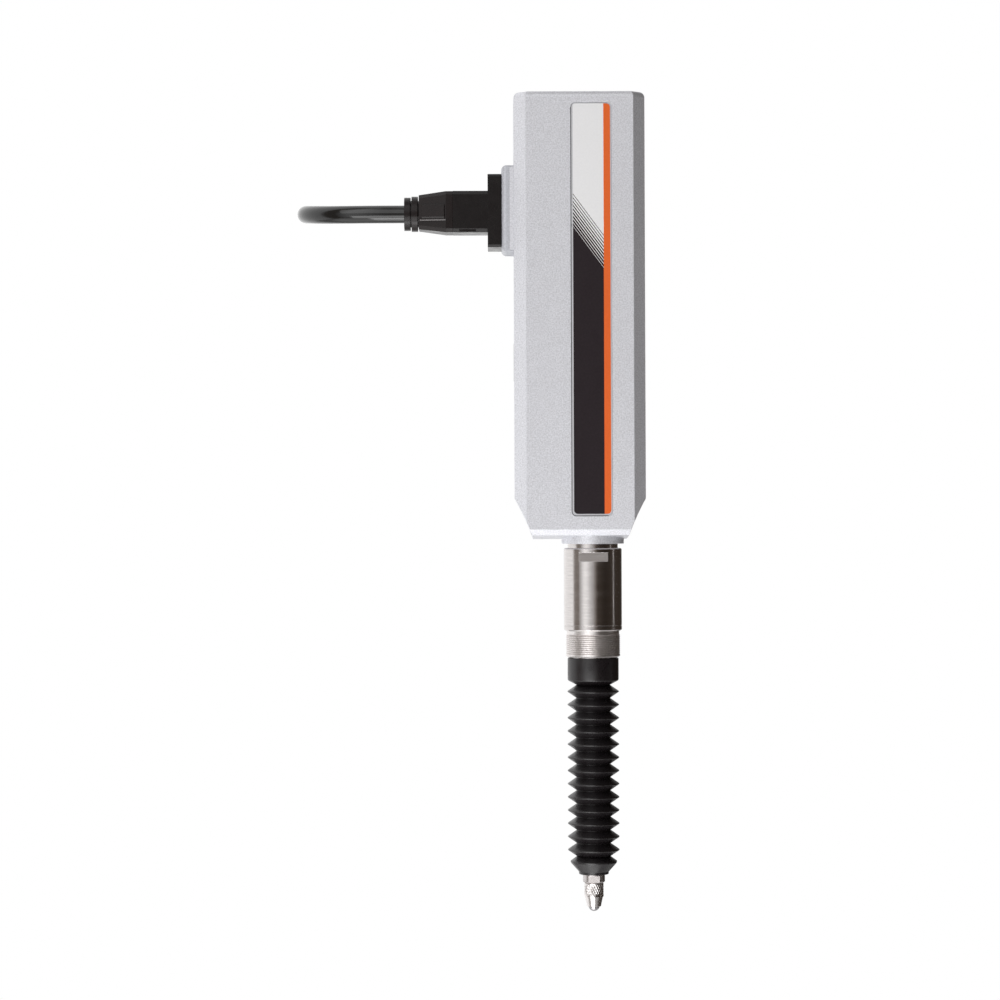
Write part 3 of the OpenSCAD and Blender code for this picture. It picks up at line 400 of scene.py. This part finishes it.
SPINDLE = surface("spindle_steel", (0.53, 0.50, 0.495), metallic=1.0, rough=0.36, mottle=0.04,
                  grain=0.3, bump=0.001, bump_size=0.2, edge=0.08)
PLATED = surface("plated_metal", (0.66, 0.65, 0.64), metallic=1.0, rough=0.22, mottle=0.04,
                 grain=0.3, edge=0.1)
HARD = surface("hard_metal", (0.42, 0.41, 0.42), metallic=1.0, rough=0.14, mottle=0.05,
               grain=0.4, edge=0)
BRASS = surface("brass", (0.72, 0.55, 0.26), metallic=1.0, rough=0.25, mottle=0.06,
                grain=0.4, edge=0.05)
ALLOY = surface("anodised_alloy", (0.52, 0.52, 0.54), metallic=1.0, rough=0.38, mottle=0.05,
                grain=0.3, edge=0.1)
SCREW = surface("screw_steel", (0.40, 0.40, 0.41), metallic=1.0, rough=0.3, mottle=0.06,
                grain=0.3, edge=0.1)
RUBBER = surface("boot_rubber", (0.010, 0.008, 0.009), rough=0.33, mottle=0.25, grain=0.5,
                 rough_spread=0.07, bump=0.006, bump_size=0.35, edge=0)
SEAL = surface("seal_rubber", (0.02, 0.02, 0.02), rough=0.6, mottle=0.2, edge=0.1)
MOULDING = surface("plug_moulding", (0.007, 0.005, 0.005), rough=0.24, mottle=0.2, grain=0.6,
                   rough_spread=0.06, bump=0.003, bump_size=0.4, edge=0.2, specular=0.28)
GRIP = surface("grip_moulding", (0.009, 0.005, 0.005), rough=0.28, mottle=0.2, grain=0.6,
               rough_spread=0.06, bump=0.003, bump_size=0.4, edge=0.2, specular=0.28)
# Painted highlight: the bead's colour is far lighter than the grip's
BEAD_HIGHLIGHT = surface("grip_bead_highlight", (0.075, 0.065, 0.065), rough=0.25, mottle=0.2, grain=0.6, edge=0,
               specular=0.8)
JACKET = surface("cable_jacket", (0.004, 0.004, 0.004), rough=0.13, mottle=0.2, grain=1.5,
                 rough_spread=0.04, bump=0.02, bump_size=2.4, edge=0, specular=0.6)
STRAP = surface("strap_tape", (0.02, 0.02, 0.022), rough=0.85, mottle=0.3, grain=0.5,
                bump=0.06, bump_size=0.5, edge=0.2, specular=0.2)
PLASTIC = surface("black_plastic", (0.02, 0.02, 0.021), rough=0.45, mottle=0.15, bump=0.003,
                  edge=0.2)
CHIP = surface("chip_plastic", (0.025, 0.025, 0.028), rough=0.55, mottle=0.15, edge=0.1)
HEADER = surface("header_plastic", (0.68, 0.65, 0.52), rough=0.45, mottle=0.04, edge=0.1)
BOARD = surface("board_laminate", (0.02, 0.14, 0.06), rough=0.35, mottle=0.12, grain=0.8,
                edge=0.05, coat=0.3)
LAMP = surface("lamp_plastic", (0.75, 0.78, 0.85), rough=0.2, mottle=0.03, edge=0.1)
GLASS = glass("scale_glass", (0.85, 0.93, 0.93), 0.04)
BORDER = surface("label_border", (0.62, 0.62, 0.65), metallic=0.3, rough=0.35, mottle=0.04,
                 grain=0.4, edge=0.05)
ART_GREY = surface("label_grey", (0.84, 0.84, 0.85), rough=0.38, mottle=0.015, grain=0.5, edge=0)
ART_DARK = surface("label_charcoal", (0.020, 0.014, 0.017), rough=0.45, mottle=0.1, grain=0.5,
                   edge=0, specular=0.15)
# Colour of the painted shadow round the label plate's left and lower edges
ART_SHADE = surface("label_painted_shadow", (0.10, 0.10, 0.11), rough=0.6, mottle=0.1, grain=0.5, edge=0,
                    specular=0.2)
ART_ORANGE = surface("label_orange", (0.78, 0.14, 0.028), rough=0.45, mottle=0.03, grain=0.5,
                     edge=0, specular=0.15)

NODE_LOOKS = {
    PAINT: ("housing", "rear_cover"),
    SPACER: ("connector_spacer",),
    SEAL: ("cover_gasket", "wiper_seal", "stop_bumper"),
    SCREW: ("cover_screws", "carriage_screw", "rail_screws", "board_screws", "socket_screws"),
    BORDER: ("label_plate",),
    STEEL: ("stem",),
    SPINDLE: ("spindle",),
    BRIGHT: ("bearing_sleeve", "bearing_balls", "contact_point", "guide_pin", "guide_rail",
             "spring_guide", "return_spring"),
    HARD: ("contact_ball",),
    BRASS: ("ball_cage", "socket_pins"),
    ALLOY: ("scale_carriage",),
    GLASS: ("glass_scale", "index_glass"),
    RUBBER: ("bellows",),
    PLASTIC: ("detector_head", "photodetector", "end_plug_body"),
    LAMP: ("light_source",),
    BOARD: ("circuit_board",),
    CHIP: ("board_chips",),
    HEADER: ("board_header",),
    MOULDING: ("socket", "plug_body"),
    GRIP: ("plug_grip",),
    JACKET: ("cable_lead", "cable_hank", "cable_tail", "end_plug_relief"),
    STRAP: ("cable_strap",),
    PLATED: ("end_plug_shell",),
}


def dress(obj, material):
    obj.data.materials.clear()
    obj.data.materials.append(material)


for material, names in NODE_LOOKS.items():
    for name in names:
        dress(nodes[name], material)
dress(cable, JACKET)


# Stem: turned, with two wrench flats
def flat_row(z):
    """The stem's row at height z, cut off straight at both flats, as a function of angle."""
    def point(a):
        x, y = STEM_R * math.cos(a), STEM_R * math.sin(a)
        return x, max(-FLATS_HALF, min(FLATS_HALF, y)), z
    return point


def add_turned_stem(name, rows, angles, material):
    piece = turned(name, rows, angles, sharp_angle=28)
    dress(piece, material)
    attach(piece, "gauge_body")
    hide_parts("stem")


def add_stem():
    bevel, shoulder_bevel, groove, lip = 0.3, 0.25, 0.15, 0.78
    corner = math.asin(FLATS_HALF / STEM_R)
    corners = [corner, math.pi - corner, math.pi + corner, 2 * math.pi - corner]
    tail = [(STEM_BORE_R, TAIL_TOP), (TAIL_R - bevel, TAIL_TOP)]
    tail += [(TAIL_R, TAIL_TOP - bevel), (TAIL_R, NECK_TOP)]
    neck = [(NECK_R, NECK_TOP), (NECK_R, SHOULDER_TOP)]
    shoulder = [(STEM_R - shoulder_bevel, SHOULDER_TOP), (STEM_R, SHOULDER_TOP - shoulder_bevel)]
    flats = [(STEM_R, FLATS_TOP), flat_row(FLATS_TOP), flat_row(CLAMP_TOP)]
    clamp = [(STEM_R, CLAMP_TOP), (STEM_R, -CLAMP_TOP), (STEM_R - groove, -CLAMP_TOP)]
    ring = [(STEM_R - groove, -CLAMP_TOP - groove), (STEM_R, -CLAMP_TOP - groove)]
    ring += [(STEM_R, RING_Z + bevel), (STEM_R - bevel, RING_Z)]
    nose = [(NOSE_R, RING_Z), (NOSE_R, NOSE_Z + bevel), (NOSE_R - bevel, NOSE_Z)]
    mouth = [(SEAL_R, NOSE_Z), (SEAL_R, NOSE_Z + lip), (STEM_BORE_R, NOSE_Z + lip)]
    rows = tail + neck + shoulder + flats + clamp + ring + nose + mouth
    add_turned_stem("stem_turned", rows, sorted(even_angles(ROUND_STEPS) + corners), STEEL)


# Nut thread below the stem's ring, cut more roughly, with closed grooves in place of a spiral; its steel
# is painted lighter than the stem's, a painted sheen for the light its grooves catch
THREAD_PITCH = 0.513
FIRST_GROOVE_Z = -10.95
GROOVES = 10


def add_thread():
    relief_r, depth, half_width = THREAD_R - 0.22, 0.27, 0.3 * THREAD_PITCH
    run_out, end_bevel = 0.35, 0.45
    rows = [(NOSE_R, RING_Z), (relief_r, RING_Z), (relief_r, FIRST_GROOVE_Z + run_out)]
    for i in range(GROOVES):
        z = FIRST_GROOVE_Z - i * THREAD_PITCH
        rows += [(THREAD_R, z + half_width), (THREAD_R - depth, z), (THREAD_R, z - half_width)]
    rows += [(THREAD_R, THREAD_Z + run_out), (THREAD_R - end_bevel, THREAD_Z), (NOSE_R, THREAD_Z)]
    add_turned_stem("stem_thread", rows, even_angles(ROUND_STEPS), THREAD)


# Bellows in three pieces, a hairline apart: fixed collar, folds, and a cuff that travels
BOOT_WALL = 0.75
HAIRLINE = 0.02


def add_bellows_piece(name, rows, sharp_angle, body):
    piece = turned(name, rows, even_angles(ROUND_STEPS), sharp_angle)
    dress(piece, RUBBER)
    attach(piece, body)
    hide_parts("bellows")
    return piece


def add_bellows_collar():
    fit_r, shelf_r, shelf_z = NOSE_R + 0.05, NOSE_R - 1.4, NOSE_Z - 0.12
    outer = [
        (fit_r, BOOT_TOP), (BOOT_COLLAR_R, BOOT_TOP), (BOOT_COLLAR_R, BOOT_COLLAR_Z),
        (ROOT_R, FIRST_ROOT_Z), (ROOT_R - BOOT_WALL, FIRST_ROOT_Z),
    ]
    inner = [(shelf_r, shelf_z), (fit_r, shelf_z)]
    rows = softened(outer, reach=0.3) + inner
    add_bellows_piece("bellows_collar", rows, sharp_angle=40, body="gauge_body")


def add_bellows_folds():
    ridge_reach, root_reach = 0.32, 0.12
    zigzag = []
    for i in range(2 * FOLDS + 1):
        zigzag.append((ROOT_R if i % 2 == 0 else FOLD_R, FIRST_ROOT_Z - i * FOLD_PITCH / 2))
    outer = [(ROOT_R, FIRST_ROOT_Z - HAIRLINE)]
    for i in range(1, len(zigzag) - 1):
        reach = ridge_reach if i % 2 else root_reach
        outer += softened(zigzag[i - 1 : i + 2], reach, steps=4)[1:-1]
    outer.append((ROOT_R, LAST_ROOT_Z + HAIRLINE))
    inner = [(r - BOOT_WALL, z) for r, z in reversed(outer)]
    folds = add_bellows_piece("bellows_folds", outer + inner, sharp_angle=60, body="gauge_body")
    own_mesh(folds)


def add_bellows_cuff():
    band_r, bevel, wall = CUFF_R + 0.25, 0.1, 0.8
    shoulder_r, shoulder_z = LAST_FOLD_R - 0.15, LAST_FOLD_Z - 0.45
    outer = [
        (ROOT_R - BOOT_WALL, LAST_ROOT_Z), (ROOT_R, LAST_ROOT_Z), (LAST_FOLD_R, LAST_FOLD_Z),
        (shoulder_r, shoulder_z), (band_r, CUFF_Z), (band_r, BOOT_Z + bevel),
        (CUFF_R, BOOT_Z), (CUFF_BORE_R, BOOT_Z),
    ]
    inner = [(CUFF_BORE_R, CUFF_Z + wall), (LAST_FOLD_R - wall, LAST_FOLD_Z)]
    rows = softened(outer, reach=0.15) + inner
    add_bellows_piece("bellows_cuff", rows, sharp_angle=40, body="spindle_body")


# Contact point with a diamond knurl
KNURL_STARTS = 12
KNURL_DEPTH = 0.15
KNURL_RISE = 0.42
KNURL_SHARPNESS = 0.8


def knurl_row(z, fade):
    """The knurl's row at height z as a function of angle; fade is 1 where it is at full depth."""
    def point(a):
        slant = z / KNURL_RISE
        height = abs(math.sin(KNURL_STARTS * a + slant)) * abs(math.sin(KNURL_STARTS * a - slant))
        r = CONTACT_R - KNURL_DEPTH * fade * (1 - height ** KNURL_SHARPNESS)
        return r * math.cos(a), r * math.sin(a), z
    return point


def add_contact():
    bevel, taper_bevel, steps, fade_steps = 0.3, 0.1, 40, 8
    taper_top_r, taper_low_r, end_r = CONTACT_R * 0.93, CONTACT_R * 0.72, CONTACT_R * 0.66
    low, high = KNURL_Z + bevel, COLLAR_Z - bevel
    rows = [(0, STUD_TOP), (STUD_R, STUD_TOP), (STUD_R, COLLAR_Z)]
    rows += [(CONTACT_R - bevel, COLLAR_Z), (CONTACT_R, high)]
    for i in range(steps + 1):
        fade = min(1, i / fade_steps, (steps - i) / fade_steps)
        rows.append(knurl_row(high + (low - high) * i / steps, fade))
    rows += [(CONTACT_R, low), (CONTACT_R, KNURL_Z), (taper_top_r, KNURL_Z)]
    rows += [(taper_low_r, TAPER_Z + taper_bevel), (end_r, TAPER_Z), (0, TAPER_Z)]
    angles = even_angles(16 * KNURL_STARTS)
    contact = turned("contact_knurled", rows, angles, sharp_angle=28, closed=False)
    dress(contact, TIP)
    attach(contact, "spindle_body")
    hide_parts("contact_point")


# Return spring
def add_spring():
    turn_steps = 12
    rise = SPRING_TOP - SPRING_Z
    path = []
    for i in range(SPRING_TURNS * turn_steps + 1):
        a = 2 * math.pi * i / turn_steps
        z = SPRING_Z + rise * i / (SPRING_TURNS * turn_steps)
        path.append(Vector((COIL_R * math.cos(a), COIL_R * math.sin(a), z)))
    spring = tube("spring_coil", path, WIRE_R, sides=8)
    dress(spring, BRIGHT)
    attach(spring, "gauge_body")
    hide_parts("return_spring")
    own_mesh(spring)


# Artwork on the label plate, inside its border, and a painted shadow round the plate's left and lower
# edges
LABEL_LEFT = -5.4
LABEL_RIGHT = 4.8
LABEL_LOW = 20.1
LABEL_TOP = 125.5
CORNER_R = 1.0
ART_LEFT = LABEL_LEFT + 0.42
ART_RIGHT = LABEL_RIGHT - 0.24
ART_LOW = LABEL_LOW + 0.4
ART_TOP = LABEL_TOP - 0.12
ART_Y = -9.42
ART_T = 0.02
SHADE_Y = FRONT_Y - 0.01
STRIPE_LEFT = 2.84
LINES = 9
FIRST_LINE_Z = 102.4
LAST_LINE_Z = 94.0
LINE_SLOPE = -1.36


def rounded_corner(x, z, r, start):
    """A quarter of a circle round (x, z), from start degrees on."""
    angles = [math.radians(start + 15 * k) for k in range(7)]
    return [(x + r * math.cos(a), z + r * math.sin(a)) for a in angles]


def at_stripe(z):
    """Height at the stripe of a slanted edge that starts at z on the left."""
    return z + LINE_SLOPE * (STRIPE_LEFT - ART_LEFT)


def slanted_band(high, low):
    left = [(ART_LEFT, high), (ART_LEFT, low)]
    return left + [(STRIPE_LEFT, at_stripe(low)), (STRIPE_LEFT, at_stripe(high))]


def slanted_lines():
    """The dark lines, each wider than the one above it, and the pale gap under each."""
    first_share, added_share = 0.28, 0.56
    pitch = (FIRST_LINE_Z - LAST_LINE_Z) / LINES
    lines, gaps = [], []
    for k in range(LINES):
        high = FIRST_LINE_Z - pitch * k
        share = first_share + added_share * k / (LINES - 1)
        middle = high - pitch * share
        lines.append(slanted_band(high, middle))
        gaps.append(slanted_band(middle, high - pitch))
    return lines, gaps


def pale_field():
    cut = 0.3
    corner = [(STRIPE_LEFT, ART_TOP), (ART_LEFT + cut, ART_TOP), (ART_LEFT, ART_TOP - cut)]
    return corner + [(ART_LEFT, FIRST_LINE_Z), (STRIPE_LEFT, at_stripe(FIRST_LINE_Z))]


def dark_block():
    corner = rounded_corner(ART_LEFT + CORNER_R, ART_LOW + CORNER_R, CORNER_R, 180)
    right = [(STRIPE_LEFT, ART_LOW), (STRIPE_LEFT, at_stripe(LAST_LINE_Z))]
    return [(ART_LEFT, LAST_LINE_Z)] + corner + right


def orange_stripe():
    x = ART_RIGHT - CORNER_R
    low = rounded_corner(x, ART_LOW + CORNER_R, CORNER_R, 270)
    high = rounded_corner(x, ART_TOP - CORNER_R, CORNER_R, 0)
    return [(STRIPE_LEFT, ART_LOW)] + low + high + [(STRIPE_LEFT, ART_TOP)]


def shadow_gap():
    """Painted shadow: a dark strip round the plate's left and lower edges, where the recess round the
    plate lies in shade.
    """
    gap = 0.2
    x, z = LABEL_LEFT + CORNER_R, LABEL_LOW + CORNER_R
    right, top = LABEL_RIGHT - CORNER_R, LABEL_TOP - CORNER_R
    outer = [(LABEL_LEFT - gap, top)] + rounded_corner(x, z, CORNER_R + gap, 180)
    inner = rounded_corner(x, z, CORNER_R, 180)[::-1] + [(LABEL_LEFT, top)]
    return outer + [(right, LABEL_LOW - gap), (right, LABEL_LOW)] + inner


def add_art(material, outlines, y_front=ART_Y):
    """Thin plates of one material, joined as one piece that takes the material's name."""
    plates = [plate(material.name, outline, y_front, ART_T) for outline in outlines]
    bpy.ops.object.select_all(action="DESELECT")
    for piece in plates:
        dress(piece, material)
        piece.select_set(True)
    art = plates[0]
    bpy.context.view_layer.objects.active = art
    if len(plates) > 1:
        bpy.ops.object.join()
    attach(art, "gauge_body")


def add_artwork():
    lines, gaps = slanted_lines()
    add_art(ART_GREY, [pale_field()] + gaps)
    add_art(ART_DARK, lines + [dark_block()])
    add_art(ART_ORANGE, [orange_stripe()])
    # Painted shadow round the plate's left and lower edges
    add_art(ART_SHADE, [shadow_gap()], SHADE_Y)


# Bead along the lower edge of the grip's front pad, in a colour far lighter than the grip's: a painted
# highlight on that edge
def add_bead():
    start, end = Vector((-44.3, -2.45, 96.35)), Vector((-37.6, -3.6, 96.35))
    bead = tube("grip_bead_highlight", [start, end], radius=0.22, sides=12)
    dress(bead, BEAD_HIGHLIGHT)
    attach(bead, "gauge_body")


# Raised strip on the spacer, beside the housing, for a step on the spacer; it wears the housing's paint,
# lighter than the spacer's, as a painted highlight along that step
def add_spacer_strip():
    left, right, low, high = -21.15, -20.05, 88.35, 109.65
    y_front, thickness = -6.26, 0.1
    outline = [(left, high), (left, low), (right, low), (right, high)]
    strip = plate("spacer_strip", outline, y_front, thickness)
    # The housing's paint is lighter than the spacer's: a painted highlight
    dress(strip, PAINT)
    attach(strip, "gauge_body")


add_stem()
add_thread()
add_bellows_collar()
add_bellows_folds()
add_bellows_cuff()
add_contact()
add_spring()
add_artwork()
add_bead()
add_spacer_strip()


# Floor, lamps and surroundings
def combined(tree, operation, a, b):
    """Two numbers put together by a math operation; b may be a fixed number."""
    step = tree.nodes.new("ShaderNodeMath")
    step.operation = operation
    tree.links.new(a, step.inputs[0])
    if isinstance(b, float):
        step.inputs[1].default_value = b
    else:
        tree.links.new(b, step.inputs[1])
    return step.outputs["Value"]


def near_share(tree, centre, near, far):
    """1 on the floor around the centre, falling to 0 between the distances near and far."""
    place = tree.nodes.new("ShaderNodeNewGeometry")
    length = tree.nodes.new("ShaderNodeVectorMath")
    length.operation = "DISTANCE"
    length.inputs[1].default_value = centre
    tree.links.new(place.outputs["Position"], length.inputs[0])
    fade = tree.nodes.new("ShaderNodeMapRange")
    fade.inputs["From Min"].default_value = near
    fade.inputs["From Max"].default_value = far
    fade.inputs["To Min"].default_value = 1.0
    fade.inputs["To Max"].default_value = 0.0
    tree.links.new(length.outputs["Value"], fade.inputs["Value"])
    return fade.outputs["Result"]


def floor_material(z):
    """Glows white to the camera, through glass and, near the centre, in gloss; else pale grey."""
    centre, brightness = (-0.3, -0.1, z), 0.88
    material = bpy.data.materials.new("floor")
    material.use_nodes = True
    tree = material.node_tree
    shader = tree.nodes["Principled BSDF"]
    shader.inputs["Base Color"].default_value = (0.9, 0.9, 0.9, 1)
    shader.inputs["Roughness"].default_value = 0.9
    shader.inputs["Specular IOR Level"].default_value = 0.1
    glow = tree.nodes.new("ShaderNodeEmission")
    rays = tree.nodes.new("ShaderNodeLightPath").outputs
    seen = combined(tree, "ADD", rays["Is Camera Ray"], rays["Is Transmission Ray"])
    nearby = near_share(tree, centre, near=0.25, far=0.5)
    mirrored = combined(tree, "MULTIPLY", rays["Is Glossy Ray"], nearby)
    strength = combined(tree, "MULTIPLY", combined(tree, "ADD", seen, mirrored), brightness)
    both = tree.nodes.new("ShaderNodeAddShader")
    tree.links.new(strength, glow.inputs["Strength"])
    tree.links.new(shader.outputs["BSDF"], both.inputs[0])
    tree.links.new(glow.outputs["Emission"], both.inputs[1])
    tree.links.new(both.outputs["Shader"], tree.nodes["Material Output"].inputs["Surface"])
    return material


def add_floor():
    half, z = 0.8, -0.6
    corners = [(-half, -half, z), (half, -half, z), (half, half, z), (-half, half, z)]
    mesh = bpy.data.meshes.new("floor")
    mesh.from_pydata(corners, [], [(0, 1, 2, 3)])
    mesh.materials.append(floor_material(z))
    floor = bpy.data.objects.new("floor", mesh)
    bpy.context.scene.collection.objects.link(floor)


def add_lamp(name, azimuth, elevation, distance, width, height, power):
    """A soft box that faces the object; azimuth 0 is the front and -90 the left."""
    a, e = math.radians(azimuth), math.radians(elevation)
    target = Vector((0, 0, 0.03))
    back = Vector((math.sin(a) * math.cos(e), -math.cos(a) * math.cos(e), math.sin(e)))
    data = bpy.data.lights.new(name, "AREA")
    data.shape = "RECTANGLE"
    data.size = width
    data.size_y = height
    data.energy = power
    lamp = bpy.data.objects.new(name, data)
    lamp.location = target + back * distance
    lamp.rotation_euler = (-back).to_track_quat("-Z", "Y").to_euler()
    bpy.context.scene.collection.objects.link(lamp)


# Each lamp's name, azimuth, elevation, distance, width, height and power
LAMPS = [
    ("front_panel", -18, -30, 0.55, 0.42, 0.3, 1.0),
    ("low_front", -14, -60, 0.45, 0.18, 0.2, 0.5),
    ("under", -14, -88, 0.45, 0.2, 0.12, 0.1),
    ("high_front", -25, 40, 1.1, 1.1, 1.0, 3.3),
    ("right_strip", 88, 0, 1.4, 0.05, 1.2, 0.2),
]

# How bright the surroundings are towards each azimuth; 0 is the front and -90 the left
SURROUNDINGS = [
    (-180, 1.0), (-155, 1.2), (-88, 1.15), (-80, 0.28), (-60, 0.22), (-48, 0.75), (-36, 1.2), (-26, 1.15),
    (-14, 0.75), (0, 0.45), (8, 0.22), (16, 0.06), (48, 0.03), (88, 0.05), (150, 0.04), (180, 0.9),
]
BRIGHTEST = 1.4


def set_tones(stops):
    """The surroundings as a colour ramp from -180 to 180 degrees, warmer where they are dark."""
    warm_below, most_warmth, green_loss, blue_loss = 0.5, 0.3, 0.8, 1.4
    for azimuth, _ in SURROUNDINGS[1:-1]:
        stops.new((azimuth + 180) / 360)
    for stop, (azimuth, level) in zip(stops, SURROUNDINGS):
        warmth = most_warmth * max(0.0, 1 - level / warm_below)
        shade = level / BRIGHTEST
        stop.position = (azimuth + 180) / 360
        stop.color = (shade, shade * (1 - green_loss * warmth), shade * (1 - blue_loss * warmth), 1)


def surrounding_light(tree):
    place = tree.nodes.new("ShaderNodeTexCoord")
    split = tree.nodes.new("ShaderNodeSeparateXYZ")
    tree.links.new(place.outputs["Generated"], split.inputs["Vector"])
    front = combined(tree, "MULTIPLY", split.outputs["Y"], -1.0)
    azimuth = combined(tree, "ARCTAN2", split.outputs["X"], front)
    spread = tree.nodes.new("ShaderNodeMapRange")
    spread.inputs["From Min"].default_value = -math.pi
    spread.inputs["From Max"].default_value = math.pi
    tree.links.new(azimuth, spread.inputs["Value"])
    tones = tree.nodes.new("ShaderNodeValToRGB")
    set_tones(tones.color_ramp.elements)
    tree.links.new(spread.outputs["Result"], tones.inputs["Fac"])
    around = tree.nodes.new("ShaderNodeBackground")
    around.inputs["Strength"].default_value = BRIGHTEST
    tree.links.new(tones.outputs["Color"], around.inputs["Color"])
    return around.outputs["Background"]


def add_world():
    """White to the camera, and the surroundings to all other rays."""
    world = bpy.data.worlds.new("world")
    bpy.context.scene.world = world
    world.use_nodes = True
    tree = world.node_tree
    tree.nodes.clear()
    white = tree.nodes.new("ShaderNodeBackground")
    white.inputs["Color"].default_value = (1, 1, 1, 1)
    white.inputs["Strength"].default_value = 1.0
    rays = tree.nodes.new("ShaderNodeLightPath")
    mix = tree.nodes.new("ShaderNodeMixShader")
    output = tree.nodes.new("ShaderNodeOutputWorld")
    tree.links.new(rays.outputs["Is Camera Ray"], mix.inputs["Fac"])
    tree.links.new(surrounding_light(tree), mix.inputs[1])
    tree.links.new(white.outputs["Background"], mix.inputs[2])
    tree.links.new(mix.outputs["Shader"], output.inputs["Surface"])


add_floor()
for lamp in LAMPS:
    add_lamp(*lamp)
add_world()

scene = bpy.context.scene
scene.view_settings.view_transform = "Standard"
